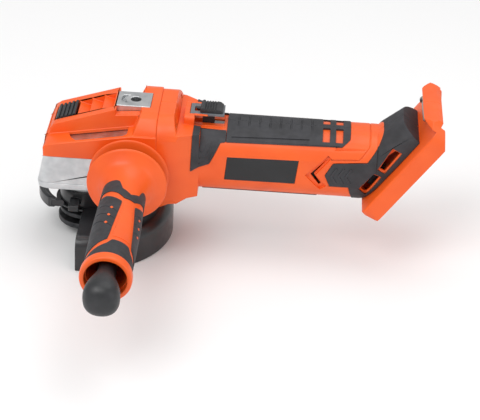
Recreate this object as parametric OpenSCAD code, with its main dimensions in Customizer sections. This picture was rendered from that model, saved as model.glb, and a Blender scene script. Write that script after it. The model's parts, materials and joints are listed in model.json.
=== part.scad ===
// Cordless angle grinder with a side handle.
// Frame: the spindle axis is Z, the disc seats at Z = 0, +X runs back to the battery end,
// and the side handle points along -Y. All sizes are in millimetres.

/* [Disc and guard] */
// Diameter of the grinding disc
disc_d = 125; // [110:1:130]
// Diameter of the disc's bore, which seats on the inner flange
disc_bore_d = 22.2; // [20:0.1:22.4]
// Radial room between the disc and the guard's skirt
guard_room = 6.5; // [5:0.5:12]
// Thickness of the guard's sheet steel
guard_sheet = 1.6; // [1.2:0.1:2.5]
// Depth of the guard's skirt below the disc seat
guard_skirt = 17; // [12:0.5:21]
// Diameter of the spindle's thread
spindle_thread_d = 14; // [12:1:16]
// Gap left for the disc between the inner flange and the clamp nut
disc_gap = 4.5; // [3:0.5:6]

/* [Gear head] */
// Width of the gear case
head_w = 70; // [66:1:84]
// Height of the motor axis above the disc seat
axis_z = 57.5; // [52:0.5:70]
// Distance from the spindle axis back to the seam with the motor housing
seam_x = 57; // [56:0.5:68]
// Distance from the spindle axis back to the side handle's axis
handle_x = 38; // [37:0.5:42]
// Diameter of the threads that take the side handle
handle_thread_d = 8; // [8:1:10]
// Teeth on the crown gear
crown_teeth = 40; // [32:4:44]
// Teeth on the pinion
pinion_teeth = 10; // [9:1:12]

/* [Body] */
// Width of the grip
grip_w = 53; // [51:1:64]
// Height of the grip
grip_h = 54; // [53:1:66]
// Length of the grip behind the collar
grip_len = 135; // [125:1:165]
// Width of the battery mount
mount_w = 78; // [76:1:90]
// Angle of the battery mount's face above the horizontal
mount_angle = 55.3; // [50:0.1:60]
// Wall thickness of the housing
wall = 2.5; // [2:0.1:3]

/* [Side handle] */
// Diameter of the handle's grip
handle_d = 33.6; // [33:0.2:40]
// Diameter of the handle's two hand flanges
handle_flange_d = 60.6; // [52:0.2:72]
// Length of the handle from its first flange to its end ring
handle_grip_len = 123; // [105:1:148]

/* [Travel] */
// Forward travel of the power switch
switch_travel = 6; // [4:0.5:7]
// Travel of the spindle lock button
lock_travel = 3.5; // [3:0.1:4]

/* [Hidden] */
$fn = 64;
fit_gap = 0.05;
part_gap = 0.35;
skin_gap = 0.2;
eps = 0.01;
az = axis_z;
orange = "#f2631d";
black = "#26272a";
metal = "#b9bcc0";

// Disc clamping
seat_boss_r = disc_bore_d / 2;
thread_r = spindle_thread_d / 2 - 0.1;
flange_r = 21;
flange_h = 7;
nut_r = 22;
nut_h = 6.5;
spindle_tip = -disc_gap - nut_h - 3;

// Gear head levels
case_floor = az - 18.7;
plate_low = az - 23.7;
neck_r = 18.3;
neck_low = 10;
tongue_low = az + 3.5;
cover_low = az + 5;
head_top = az + 40.5;
ridge_half = 19;
ridge_front = [-22.5, az + 24.5];
ridge_rear = [25.6, head_top];
channel_half = 11.6;
channel_depth = 8;
plate_half = 12;
nose_slope = 0.21;
cover_half = head_w / 2 + 1;
shoulder_x = 36;
case_boss_r = 7.5;

// Bevel gear pair: both cones meet on the motor axis above the spindle
crown_angle = atan2(crown_teeth, pinion_teeth);
pinion_angle = 90 - crown_angle;
crown_pitch_r = 21;
cone_out = crown_pitch_r / sin(crown_angle);
cone_in = cone_out * 0.72;
gear_module = 2 * crown_pitch_r / crown_teeth;
crown_web_top = az - 7.5;
crown_web_low = crown_web_top - 6;
lock_hole_r = 10.75;
lock_pin_r = 2;
needle_r = 6;

// Motor
shaft_r = 4;
shaft_nose_r = 2.5;
front_bearing_x = handle_x - 1;
front_bearing_l = 7;
front_bearing_r = 11;
fan_x = seam_x - 8;
fan_l = 9;
can_r = 22.2;
can_x = seam_x + 8;
can_l = 66;
can_end = can_x + can_l;

// Body
collar_end = seam_x + 14;
collar_half = max(head_w, grip_w) / 2 + 1;
grip_low = az + 0.5 - grip_h / 2;
grip_top = grip_low + grip_h;
grip_end = collar_end + grip_len;
bay_r = can_r + 0.3;
rubber_t = 1.2;
rubber_proud = 0.6;
mount_x = grip_end + 22;
mount_z = az - 31;
mount_l = 79;
mount_t = 13.5;
cap_t = 30.5;
cap_x = 66;
rail_lip = 4;
rail_half = 26.5;
groove_half = 32.5;
groove_t = 12.8;
channel_start = 9;

// Side handle, measured along its own axis from the gear case's side
stud_r = handle_thread_d / 2 - 0.6;
base_start = 4;
flange_one = 11;
damper_start = 15.5;
flange_two = 24;
grip_start = 45;
grip_stop = flange_one + 2 + handle_grip_len + 12;
ring_l = 8;
key_reach = 31.5;
key_bore_r = handle_d / 2 - 2.5;

// Guard band and its quick lever
band_low = neck_low + 0.6;
band_high = band_low + 12;
band_in = neck_r + part_gap;
band_out = band_in + 2;
pivot_r = 30;
pivot_angle = 125.5;
pivot = [pivot_r * cos(pivot_angle), pivot_r * sin(pivot_angle)];
lever_pin_r = 2.2;

// ---------- helpers ----------

// Points of a rectangle with round corners, centred on the origin
function round_rect(w, h, r, n = 8) = [for (c = [0:3]) for (i = [0:n])
    let (a = 90 * c + 90 * i / n,
         cx = (c == 0 || c == 3 ? 1 : -1) * (w / 2 - r),
         cy = (c < 2 ? 1 : -1) * (h / 2 - r))
    [cx + r * cos(a), cy + r * sin(a)]];

// Extrudes an X-Z outline sideways, by half on each side of Y = 0
module side_cut(points, half) {
    rotate([90, 0, 0]) translate([0, 0, -half]) linear_extrude(2 * half) polygon(points);
}

// Extrudes a Y-Z outline along X from x0 to x1
module long_cut(points, x0, x1) {
    translate([x0, 0, 0]) rotate([90, 0, 90]) linear_extrude(x1 - x0) polygon(points);
}

// Rounded bar along X
module round_bar(x0, x1, w, z0, z1, r) {
    translate([x0, 0, (z0 + z1) / 2]) rotate([90, 0, 90])
        linear_extrude(x1 - x0) polygon(round_rect(w, z1 - z0, r));
}

module along_x(x, z = az) { translate([x, 0, z]) rotate([0, 90, 0]) children(); }

module ring(r_out, r_in, h) {
    difference() {
        cylinder(r = r_out, h = h);
        translate([0, 0, -1]) cylinder(r = r_in, h = h + 2);
    }
}

// Keeps one side of the Y = 0 plane: side is -1 for the left and 1 for the right
module half(side) {
    intersection() {
        children();
        translate([-100, side < 0 ? -300 : 0, -100]) cube([600, 300, 400]);
    }
}

module both_sides() {
    children();
    mirror([0, 1, 0]) children();
}

module handle_frame() {
    translate([handle_x, -head_w / 2, az]) rotate([90, 0, 0]) children();
}

// Frame of the battery mount: x runs up its face, z points into the tool
module mount_frame() {
    translate([mount_x, 0, mount_z]) rotate([0, -mount_angle, 0]) children();
}

// ---------- gear head ----------

function nose_x(z) = -28 - (az + 8.5 - z) * nose_slope;
function ridge_z(x) = ridge_front[1] + (x - ridge_front[0]) * (ridge_rear[1] - ridge_front[1])
    / (ridge_rear[0] - ridge_front[0]);

// Plan outline of the head with rounded front corners, inset by t
module head_plan(t) {
    front = 40;
    w = 2 * (cover_half - t);
    translate([(seam_x - front + t) / 2, 0, 0])
        polygon(round_rect(seam_x + front - t, w, 16));
}

module head_prism(t, z0, z1) {
    translate([0, 0, z0]) linear_extrude(z1 - z0) union() {
        head_plan(t);
        translate([seam_x - 20, -cover_half + t]) square([20, 2 * (cover_half - t)]);
    }
}

// Section across the rear shoulders, chamfered at its upper corners
module shoulder_section(w, top, low) {
    side = [[w, low], [w, top - 18.5], [w - 3, top - 8.5], [w - 9, top - 2], [w - 16, top]];
    long_cut(concat(side, [for (i = [4:-1:0]) [-side[i][0], side[i][1]]]), shoulder_x - 5, seam_x);
}

// The head's upper form: a sloping ridge, low side shelves and rear shoulders
module head_form(t, ridge_drop, low) {
    intersection() {
        union() {
            side_cut([[nose_x(low) + t, low],
                [ridge_front[0] - 3 + t, ridge_front[1] - 3.5 - max(t, ridge_drop)],
                [ridge_front[0] + t, ridge_front[1] - ridge_drop],
                [ridge_rear[0], head_top - ridge_drop], [seam_x, head_top - ridge_drop],
                [seam_x, low]], ridge_half - t);
            side_cut([[nose_x(low) + t, low], [-29 + t, az + 13 - t], [-24, az + 16 - t],
                [38, az + 27 - t], [seam_x, az + 27 - t], [seam_x, low]], cover_half);
            intersection() {
                side_cut([[shoulder_x + t, low], [shoulder_x + 1 + t, az + 22],
                    [shoulder_x + 8 + t, head_top - t], [seam_x, head_top - t],
                    [seam_x, low]], cover_half);
                shoulder_section(cover_half - t, head_top - t, low);
            }
        }
        head_prism(t, low - 1, head_top + 1);
    }
}

// Threaded holes for the handle: the free ones at full size, the one in use at the thread's root
module handle_boss_holes() {
    hole_l = 16;
    translate([handle_x, head_w / 2 + 3, az]) rotate([90, 0, 0])
        cylinder(r = handle_thread_d / 2, h = hole_l + 3);
    translate([handle_x, -head_w / 2 - 3, az]) rotate([-90, 0, 0])
        cylinder(r = stud_r + fit_gap, h = hole_l + 3);
    translate([handle_x, 0, head_top - 14]) cylinder(r = handle_thread_d / 2, h = 20);
}

module gear_case() {
    color(metal) difference() {
        union() {
            intersection() {
                side_cut([[nose_x(case_floor), case_floor], [nose_x(cover_low), cover_low],
                    [seam_x, cover_low], [seam_x, case_floor - 13], [seam_x - 7, case_floor - 13],
                    [seam_x - 10, case_floor]], head_w / 2);
                head_prism(1, case_floor - 20, cover_low);
            }
            head_form(2.6, channel_depth + 2.4, cover_low - eps);
            translate([24, -plate_half + 0.3, az + 25])
                cube([26, 2 * plate_half - 0.6, head_top - az - 25]);
            translate([handle_x, head_w / 2 - 4, az]) rotate([-90, 0, 0])
                cylinder(r = case_boss_r, h = 6.5);
            translate([handle_x, -head_w / 2, az]) rotate([-90, 0, 0])
                cylinder(r = case_boss_r, h = 6);
        }
        translate([0, 0, case_floor - 1]) cylinder(r = 25, h = az - case_floor + 1);
        translate([0, 0, case_floor]) cylinder(r = needle_r, h = az + 9 - case_floor);
        // pinion chamber, motor shaft bore, bearing seat and fan chamber
        difference() {
            translate([-9, -13, az - 5]) cube([front_bearing_x - 2 + 9, 26, 16]);
            translate([0, 0, az - 1.5]) cylinder(r = 9, h = 20);
        }
        along_x(front_bearing_x - 4) cylinder(r = 6.5, h = 12);
        along_x(front_bearing_x) cylinder(r = front_bearing_r, h = 20);
        along_x(fan_x - 1.5) cylinder(r = 27.5, h = 30);
        handle_boss_holes();
        translate([-lock_hole_r, 0, az - 10]) cylinder(r = lock_pin_r + fit_gap, h = 60);
        translate([-lock_hole_r, 0, az + 12.5]) cylinder(r = 4.4, h = 30);
        // curved thumb recess in the top plate, in front of the threaded hole
        translate([handle_x, 0, head_top]) thumb_recess(11, 8, 3);
        head_screw_holes(1.95);
        head_screw_seats();
        cover_screw_holes(2);
    }
}

module thumb_recess(r_out, r_in, depth) {
    translate([0, 0, -depth]) intersection() {
        ring(r_out, r_in, depth + 1);
        translate([-16, -6, -1]) cube([16, 12, depth + 3]);
    }
}

head_screw_y = cover_half - 11;
head_screw_top = az + 32;
head_screw_low = case_floor - 8;
head_screw_r = 2.9;
head_screw_top_x = shoulder_x + 8;
head_screw_low_x = seam_x - 12;

// Counterbores that take the heads of the head screws
module head_screw_seats() {
    depth = 3.1;
    for (s = [-1, 1]) {
        translate([head_screw_top_x - 10, s * head_screw_y, head_screw_top]) rotate([0, 90, 0])
            cylinder(r = head_screw_r + 0.9, h = 10 + depth);
        translate([head_screw_low_x - 10, s * head_screw_y, head_screw_low]) rotate([0, 90, 0])
            cylinder(r = head_screw_r + 0.9, h = 10 + depth);
    }
}

module head_screw_holes(r) {
    for (s = [-1, 1]) {
        translate([shoulder_x - 6, s * head_screw_y, head_screw_top]) rotate([0, 90, 0])
            cylinder(r = r, h = seam_x - shoulder_x + 8);
        translate([seam_x - 12, s * head_screw_y, head_screw_low]) rotate([0, 90, 0])
            cylinder(r = r, h = 14);
    }
}

module head_screw(head_x, tip_x, y, z) {
    translate([head_x, y, z]) rotate([0, 90, 0]) difference() {
        union() {
            cylinder(r = head_screw_r, h = 3);
            cylinder(r = 1.9, h = tip_x - head_x);
        }
        for (a = [0, 90]) rotate([0, 0, a]) translate([-2, -0.45, -1]) cube([4, 0.9, 2.4]);
    }
}

module head_screws() {
    color("#6d6f73") for (s = [-1, 1]) {
        head_screw(head_screw_top_x, seam_x + 13, s * head_screw_y, head_screw_top);
        head_screw(head_screw_low_x, seam_x + 8, s * head_screw_y, head_screw_low);
    }
}

cover_screw_x = 24;
cover_screw_y = head_w / 2 - 8;

module cover_screw_holes(r) {
    for (x = [-1, 1]) for (y = [-1, 1])
        translate([x * cover_screw_x - 1, y * cover_screw_y, plate_low - 3]) cylinder(r = r, h = 16);
}

module bearing_cover() {
    color(metal) difference() {
        union() {
            intersection() {
                side_cut([[nose_x(plate_low) + 2, plate_low], [nose_x(case_floor), case_floor],
                    [34, case_floor], [34, plate_low]], head_w / 2);
                head_prism(1.2, plate_low, case_floor - eps);
            }
            translate([0, 0, neck_low]) cylinder(r = neck_r, h = plate_low - neck_low + 1);
            // lip that centres the cover in the gear case
            translate([0, 0, plate_low + 1]) cylinder(r = 24.8, h = case_floor - plate_low + 1);
        }
        translate([0, 0, neck_low - 1]) cylinder(r = 9.6, h = 60);
        translate([0, 0, neck_low + 3]) cylinder(r = 16, h = 60);
        for (x = [-1, 1]) for (y = [-1, 1])
            translate([x * cover_screw_x - 1, y * cover_screw_y, plate_low - 1]) cylinder(r = 4.6, h = 2.5);
        cover_screw_holes(2);
    }
}

module bearing_cover_screws() {
    color("#8d8f93") for (x = [-1, 1]) for (y = [-1, 1])
        translate([x * cover_screw_x - 1, y * cover_screw_y, plate_low - 1.6]) difference() {
            union() {
                cylinder(r = 4, h = 3);
                cylinder(r = 2, h = 14);
            }
            translate([0, 0, -1]) cylinder(r = 2, h = 2.6, $fn = 6);
        }
}

// Orange plastic cover over the upper half of the gear case
module head_cover() {
    color(orange) difference() {
        union() {
            head_form(0, 0, cover_low);
            // front tongue that hangs over the case's nose
            intersection() {
                side_cut([[nose_x(tongue_low) - 1.8, tongue_low], [nose_x(az + 14) - 1.8, az + 14],
                    [nose_x(az + 14) + 2.2, az + 14], [nose_x(tongue_low) + 2.2, tongue_low]], 16.5);
                head_prism(-2, tongue_low, az + 20);
            }
        }
        head_form(2.4, channel_depth + 2.2, cover_low - 2);
        // room for the case's nose behind the tongue
        side_cut([[nose_x(tongue_low - 1) - skin_gap, tongue_low - 1],
            [nose_x(cover_low) - skin_gap, cover_low + skin_gap],
            [0, cover_low + skin_gap], [0, tongue_low - 1]], 17);
        // channel between the ridge's side walls, stepped by the louvres
        side_cut(channel_outline(), channel_half);
        // opening for the top plate
        translate([ridge_rear[0] - 2.5, -plate_half, az + 25]) cube([27, 2 * plate_half, 40]);
        // lowered side walls that bare the plate's flanks
        side_cut([[ridge_rear[0] - 1, az + 35.5], [ridge_rear[0] + 17.4, az + 37],
            [ridge_rear[0] + 18.6, az + 60], [ridge_rear[0] - 1, az + 60]], ridge_half + 1);
        both_sides() window_cut();
        head_screw_seats();
        both_sides() translate([handle_x, head_w / 2 - 4, az]) rotate([-90, 0, 0])
            cylinder(r = case_boss_r + 0.5, h = 20);
        translate([-lock_hole_r, 0, az + 10]) cylinder(r = 4.6, h = 40);
        head_screw_holes(2.2);
    }
}

// Floor of the ridge's channel: flat under the button, then three rising louvres
function channel_outline() = let (x0 = -25, steps = 3, sx = -6, pitch = 9.6) concat(
    [[x0, ridge_z(x0) + 20], [x0 + 2, ridge_z(x0 + 2) - channel_depth]],
    [[sx - 0.5, ridge_z(sx) - channel_depth]],
    [for (i = [0:steps - 1]) each [
        [sx + i * pitch, ridge_z(sx + i * pitch) - 1.2],
        [sx + (i + 1) * pitch - 0.6, ridge_z(sx + (i + 1) * pitch) - 7]]],
    [[sx + steps * pitch, ridge_z(sx + steps * pitch) - 7],
     [sx + steps * pitch, ridge_z(sx) + 40]]);

// Side window that bares the aluminium case, a wedge that opens towards the rear
module window_cut() {
    outer = cover_half - 3;
    translate([0, 0, az + 12.5]) linear_extrude(20) polygon([[-11, ridge_half + 0.8],
        [-8, ridge_half + 9], [-4, outer], [shoulder_x - 5, outer], [shoulder_x - 1.5, outer - 3],
        [shoulder_x - 1.5, ridge_half + 0.8]]);
}

// ---------- spindle, disc clamping and bevel gears ----------

module spindle() {
    color(metal) {
        translate([0, 0, spindle_tip]) cylinder(r1 = thread_r - 1, r2 = thread_r, h = 1);
        translate([0, 0, spindle_tip + 1]) cylinder(r = thread_r, h = flange_h - spindle_tip - 1);
        translate([0, 0, flange_h]) cylinder(r = 9, h = neck_low + 3 - flange_h - fit_gap);
        translate([0, 0, neck_low + 2]) cylinder(r = 6, h = crown_web_top - neck_low + 2);
        translate([0, 0, crown_web_top]) cylinder(r = 4, h = az + 8 - crown_web_top);
    }
}

module inner_flange() {
    color("#3a3b3e") difference() {
        union() {
            translate([0, 0, -2.5]) cylinder(r = seat_boss_r, h = 3);
            cylinder(r = flange_r, h = 3);
            translate([0, 0, 3]) cylinder(r1 = flange_r, r2 = flange_r - 3, h = 1.5);
            translate([0, 0, 4.5]) cylinder(r = flange_r - 6, h = flange_h - 4.5);
        }
        translate([0, 0, -5]) cylinder(r = thread_r + fit_gap, h = 20);
    }
}

module clamp_nut() {
    color("#3a3b3e") translate([0, 0, -disc_gap - nut_h]) difference() {
        union() {
            cylinder(r = nut_r - 5, h = nut_h);
            translate([0, 0, 2]) cylinder(r = nut_r, h = nut_h - 2);
        }
        translate([0, 0, -1]) cylinder(r = thread_r + fit_gap, h = nut_h + 2);
        for (a = [45:90:315]) rotate([0, 0, a]) translate([12.5, 0, -1]) cylinder(r = 2.4, h = nut_h - 1);
    }
}

// Bevel tooth from an outer and an inner end that both point at the shared apex.
// Local frame: apex at the origin, the gear's own axis along +Z.
function cone_point(dist, off, angle) =
    [dist * sin(angle) + off * cos(angle), dist * cos(angle) - off * sin(angle)];

module bevel_tooth(angle, root_half, tip_half) {
    root = cone_point(cone_out, -1.6 * gear_module, angle);
    tip = cone_point(cone_out, 0.9 * gear_module, angle);
    k = cone_in / cone_out;
    outer = [[root[0], -root_half, root[1]], [root[0], root_half, root[1]],
        [tip[0], tip_half, tip[1]], [tip[0], -tip_half, tip[1]]];
    points = concat(outer, [for (p = outer) p * k]);
    polyhedron(points, [[0, 1, 2, 3], [7, 6, 5, 4], [0, 4, 5, 1], [1, 5, 6, 2],
        [2, 6, 7, 3], [3, 7, 4, 0]]);
}

module bevel_blank(angle, back, bore_r) {
    k = cone_in / cone_out;
    root = cone_point(cone_out, -1.25 * gear_module, angle);
    rotate_extrude() polygon([[bore_r, root[1] * k], root * k, root,
        [root[0], root[1] + back], [bore_r, root[1] + back]]);
}

module crown_gear() {
    color("#8a8c90") difference() {
        union() {
            translate([0, 0, az]) rotate([180, 0, 0]) {
                bevel_blank(crown_angle, 3, 8);
                for (i = [0:crown_teeth - 1]) rotate([0, 0, (i + 0.5) * 360 / crown_teeth])
                    bevel_tooth(crown_angle, 0.29 * PI * gear_module, 0.14 * PI * gear_module);
            }
            translate([0, 0, crown_web_low]) cylinder(r = 14.2, h = crown_web_top - crown_web_low);
            translate([0, 0, crown_web_low - 2]) cylinder(r = 8, h = 10);
        }
        translate([0, 0, crown_web_low - 3]) cylinder(r = 6, h = 6 + crown_web_top - crown_web_low);
        translate([0, 0, crown_web_top]) cylinder(r = 14.2, h = 10);
        for (a = [0:45:315]) rotate([0, 0, a]) translate([lock_hole_r, 0, crown_web_low - 5])
            cylinder(r = lock_pin_r + 0.3, h = 20);
    }
}

module spindle_lower_bearing() {
    color("#a7a9ad") translate([0, 0, neck_low + 3]) ring(16, 6 + fit_gap, 10);
}

module spindle_upper_bearing() {
    color("#a7a9ad") translate([0, 0, az - 1]) ring(needle_r, 4 + fit_gap, 8);
}

module dust_ring() {
    color(black) translate([0, 0, neck_low + 13]) ring(15.9, 7, 2);
}

// ---------- spindle lock ----------

button_x0 = -22.5;
button_x1 = -7.2;

module lock_button() {
    lift = 1.2;
    color(black) difference() {
        union() {
            side_cut([[button_x0, ridge_z(button_x0) - channel_depth + lock_travel + 1],
                [button_x0, ridge_z(button_x0) + lift - 1.4],
                [button_x0 + 1.2, ridge_z(button_x0 + 1.2) + lift],
                [button_x1 - 0.6, ridge_z(button_x1) + lift], [button_x1, ridge_z(button_x1) + lift - 0.8],
                [button_x1, ridge_z(button_x1) - channel_depth + lock_travel + 1]], channel_half - 0.4);
            // boss on the underside that holds the pin
            translate([-lock_hole_r, 0, ridge_z(button_x1) - channel_depth - 0.6])
                cylinder(r = 3.9, h = 6);
        }
        for (i = [0:3]) let (x = button_x0 + 2.7 + i * 3.1)
            side_cut([[x, ridge_z(x) - 0.2], [x, ridge_z(x) + 4], [x + 1.2, ridge_z(x) + 4],
                [x + 1.2, ridge_z(x) - 0.2]], 20);
        translate([-lock_hole_r, 0, az]) cylinder(r = lock_pin_r, h = ridge_z(-lock_hole_r) - 3 - az);
    }
}

module lock_pin() {
    color(metal) translate([-lock_hole_r, 0, crown_web_top + 1.5])
        cylinder(r = lock_pin_r, h = ridge_z(-lock_hole_r) - 3 - crown_web_top - 1.5);
}

spring_low = az + 12.5;
spring_h = ridge_z(button_x1) - channel_depth - 0.6 - spring_low;

// Round wire wound on a helix, as one closed skin
module coil(r, wire_r, h, turns, steps = 20, sides = 8) {
    n = turns * steps;
    rings = [for (i = [0:n]) let (a = 360 * i / steps, z = wire_r + (h - 2 * wire_r) * i / n)
        for (j = [0:sides - 1]) let (b = 360 * j / sides, q = r + wire_r * cos(b))
            [q * cos(a), q * sin(a), z + wire_r * sin(b)]];
    skin = [for (i = [0:n - 1]) for (j = [0:sides - 1]) let (k = (j + 1) % sides)
        [i * sides + j, i * sides + k, (i + 1) * sides + k, (i + 1) * sides + j]];
    ends = [[for (j = [sides - 1:-1:0]) j], [for (j = [0:sides - 1]) n * sides + j]];
    polyhedron(rings, concat(skin, ends));
}

module lock_spring() {
    color("#9a9c9f") translate([-lock_hole_r, 0, spring_low + 0.05])
        coil(3.3, 0.4, spring_h - 0.1, 4);
}

// ---------- guard and its quick-release band ----------

guard_r = disc_d / 2 + guard_room;
guard_top = neck_low;

module guard() {
    r = guard_r;
    s = guard_sheet;
    t = guard_top;
    color(black) {
        rotate([0, 0, -90]) rotate_extrude(angle = 180) polygon([
            [band_in + 1, t - s], [r - 9, t - s], [r - 5.4, t - s - 0.9], [r - s - 1.4, t - s - 3],
            [r - s, t - s - 6.5], [r - s, -guard_skirt + 1.6], [r - s - 1.6, -guard_skirt + 0.8],
            [r - s - 1.6, -guard_skirt], [r, -guard_skirt], [r, t - 8],
            [r - 1.2, t - 4], [r - 4.4, t - 1.2], [r - 8.4, t], [band_in + 1, t]]);
        // collar on the plate that the band closes on, all the way round
        translate([0, 0, t - s]) ring(band_out + 3, band_in + 1, s);
        // raised direction arrow
        translate([0, 0, t - eps]) rotate([0, 0, -35]) intersection() {
            ring(52, 49, 0.6);
            translate([0, 0, -1]) cube([60, 60, 3]);
        }
        translate([0, 0, t - eps]) rotate([0, 0, -35]) translate([50.5, 0, 0])
            linear_extrude(0.6) polygon([[-5, 0], [5, 0], [0, -8]]);
    }
}

module guard_band() {
    color(black) difference() {
        union() {
            translate([0, 0, band_low - 0.6]) ring(band_out, band_in, band_high - band_low + 0.6);
            // forked ear for the lever's pin, and ears for the tension bolt and the stop
            rotate([0, 0, pivot_angle]) difference() {
                translate([band_out - 1, -5.5, band_low])
                    cube([pivot_r - band_out + 5.5, 11, band_high - band_low]);
                translate([pivot_r - 6, -20, band_low + 3]) cube([20, 40, 6]);
            }
            translate([-9, band_out - 0.6, band_low]) cube([14, 10, band_high - band_low]);
            translate([-10, -band_out - 12.5, band_low + 3]) cube([8, 13.5, 5]);
        }
        translate([pivot[0], pivot[1], band_low - 2]) cylinder(r = lever_pin_r, h = 20);
        translate([-20, band_out + 5, (band_low + band_high) / 2]) rotate([0, 90, 0])
            cylinder(r = 1.95, h = 40);
        cylinder(r = band_in, h = 60);
    }
}

module lever_pin() {
    color("#5b5d61") translate([pivot[0], pivot[1], band_low - 0.4]) {
        cylinder(r = lever_pin_r, h = band_high - band_low + 0.8);
        translate([0, 0, band_high - band_low + 0.4]) cylinder(r = 3.4, h = 0.9);
    }
}

lever_gap = 0.35;

module clamp_lever() {
    z0 = band_low + 3 + lever_gap;
    h = 6 - 2 * lever_gap;
    color("#222326") difference() {
        union() {
            translate([pivot[0], pivot[1], z0]) cylinder(r = 5.2, h = h);
            // arm that wraps round the front of the band
            intersection() {
                translate([0, 0, z0]) ring(36, 30, h);
                translate([-40, -26.5, z0 - 1]) cube([40, 51.5, h + 2]);
            }
            translate([pivot[0] - 9, pivot[1] - 6, z0]) cube([9, 7, h]);
            // thumb pad, taller than the arm
            intersection() {
                translate([0, 0, z0 - 1.8]) ring(37, 33.4, h + 3.6);
                translate([-40, -26, z0 - 3]) cube([40, 38, h + 8]);
            }
        }
        translate([pivot[0], pivot[1], z0 - 1]) cylinder(r = lever_pin_r + fit_gap, h = h + 2);
    }
}

module band_bolt() {
    z = (band_low + band_high) / 2;
    color("#5b5d61") translate([-2, band_out + 5, z]) {
        translate([-8.2, 0, 0]) rotate([0, 90, 0]) cylinder(r = 1.9, h = 19);
        translate([7, 0, 0]) rotate([0, 90, 0]) cylinder(r = 3.6, h = 3.2, $fn = 6);
    }
}

// ---------- motor ----------

pinion_back = cone_point(cone_out, -1.25 * gear_module, pinion_angle)[1] + 3;

module rotor_shaft() {
    color(metal) along_x(10.5) cylinder(r = shaft_nose_r, h = pinion_back - 10.4);
    color(metal) along_x(pinion_back + 0.1) cylinder(r = shaft_r, h = can_end + 7.9 - pinion_back);
}

module pinion() {
    color("#8a8c90") translate([0, 0, az]) rotate([0, 90, 0]) {
        bevel_blank(pinion_angle, 3, shaft_nose_r);
        for (i = [0:pinion_teeth - 1]) rotate([0, 0, i * 360 / pinion_teeth])
            bevel_tooth(pinion_angle, 0.27 * PI * gear_module, 0.12 * PI * gear_module);
    }
}

module armature() {
    stack_l = can_l - 26;
    color("#7c4a2a") along_x(can_x + 9) difference() {
        union() {
            cylinder(r = can_r - 5.6, h = stack_l);
            translate([0, 0, -5]) cylinder(r = 13.5, h = stack_l + 10);
        }
        for (a = [0:30:330]) rotate([0, 0, a]) translate([can_r - 8, -1.1, -1]) cube([4, 2.2, stack_l + 2]);
        translate([0, 0, -6]) cylinder(r = shaft_r, h = stack_l + 12);
    }
}

module commutator() {
    color("#b87333") along_x(can_end - 11) difference() {
        cylinder(r = 9, h = 9);
        translate([0, 0, -1]) cylinder(r = shaft_r, h = 12);
        for (a = [0:30:330]) rotate([0, 0, a]) translate([7.8, -0.25, -1]) cube([3, 0.5, 11]);
    }
}

module fan() {
    color("#4a4c50") along_x(fan_x) {
        ring(9, shaft_r, fan_l);
        translate([0, 0, fan_l - 1.6]) ring(26, 8.8, 1.6);
        for (a = [0:36:324]) rotate([0, 0, a]) translate([8.6, -0.7, 1]) rotate([0, 0, 12])
            cube([17, 1.4, fan_l - 2]);
    }
}

module rotor_front_bearing() {
    color("#a7a9ad") along_x(front_bearing_x) ring(front_bearing_r, shaft_r + fit_gap, front_bearing_l);
}

module rotor_rear_bearing() {
    color("#a7a9ad") along_x(can_end + 1) ring(8, shaft_r + fit_gap, 5);
}

module motor_can() {
    color("#5f6165") along_x(can_x) difference() {
        cylinder(r = can_r, h = can_l);
        translate([0, 0, 1.6]) cylinder(r = can_r - 1.6, h = can_l);
        translate([0, 0, -1]) cylinder(r = 14.5, h = 4);
        for (a = [30:60:330]) rotate([0, 0, a]) translate([can_r - 4, -4, 3]) cube([8, 8, 4]);
    }
}

module motor_magnets() {
    color("#3b3d42") along_x(can_x + 6) intersection() {
        ring(can_r - 1.65, can_r - 5, can_l - 20);
        for (s = [0, 180]) rotate([0, 0, s]) translate([4, -30, -1]) cube([30, 60, can_l]);
    }
}

module motor_end_cap() {
    color(black) along_x(can_end) difference() {
        union() {
            translate([0, 0, -3]) cylinder(r = can_r - 1.7, h = 3);
            cylinder(r = can_r, h = 1.5);
            cylinder(r = 10.5, h = 8);
        }
        translate([0, 0, -4]) cylinder(r = 11.5, h = 3.6);
        translate([0, 0, 1]) cylinder(r = 8, h = 5);
        translate([0, 0, -4]) cylinder(r = shaft_r + 0.6, h = 14);
    }
}

brush_x = can_end - 6.5;

module brushes() {
    color("#2d2d30") for (s = [-1, 1]) along_x(brush_x - 2.4)
        translate([-2.4, s > 0 ? 9.1 : -16.1, 0]) cube([4.8, 7, 4.8]);
}

module brush_holders() {
    color("#b08d3f") for (s = [-1, 1]) along_x(brush_x - 3.4) difference() {
        translate([-3.4, s > 0 ? 10.5 : -17.5, 0]) cube([6.8, 7, 6.4]);
        translate([-2.4, -20, 1]) cube([4.8, 40, 4.8]);
    }
}

// ---------- motor housing, split at Y = 0 ----------

corner_r = 21;
neck_x = grip_end + 18;

// A point of the battery mount's frame, as X and Z
function mount_point(x, z) = [mount_x + x * cos(mount_angle) - z * sin(mount_angle),
    mount_z + x * sin(mount_angle) + z * cos(mount_angle)];

module collar_form(t) {
    h = az + 39.5;
    intersection() {
        side_cut([[seam_x, az - 40.5 + t], [seam_x + 2, az - 40.5 + t], [seam_x + 6, az - 34 + t],
            [seam_x + 10, az - 31 + t], [seam_x + 16, az - 30 + t], [collar_end + 10, grip_low + t],
            [collar_end + 18, grip_low + t], [collar_end + 18, grip_top - t],
            [collar_end + 1, grip_top + 2 - t], [collar_end - 2, h - t], [seam_x, h - t]], 100);
        round_bar(seam_x, collar_end + 18, 2 * collar_half - 2 * t, az - 40.5 + t, h - t, 18);
        translate([0, 0, -50]) linear_extrude(300) polygon([
            [seam_x, -collar_half + t], [collar_end, -collar_half + t],
            [collar_end + 18, -grip_w / 2 + t], [collar_end + 18, grip_w / 2 - t],
            [collar_end, collar_half - t], [seam_x, collar_half - t]]);
    }
}

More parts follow.
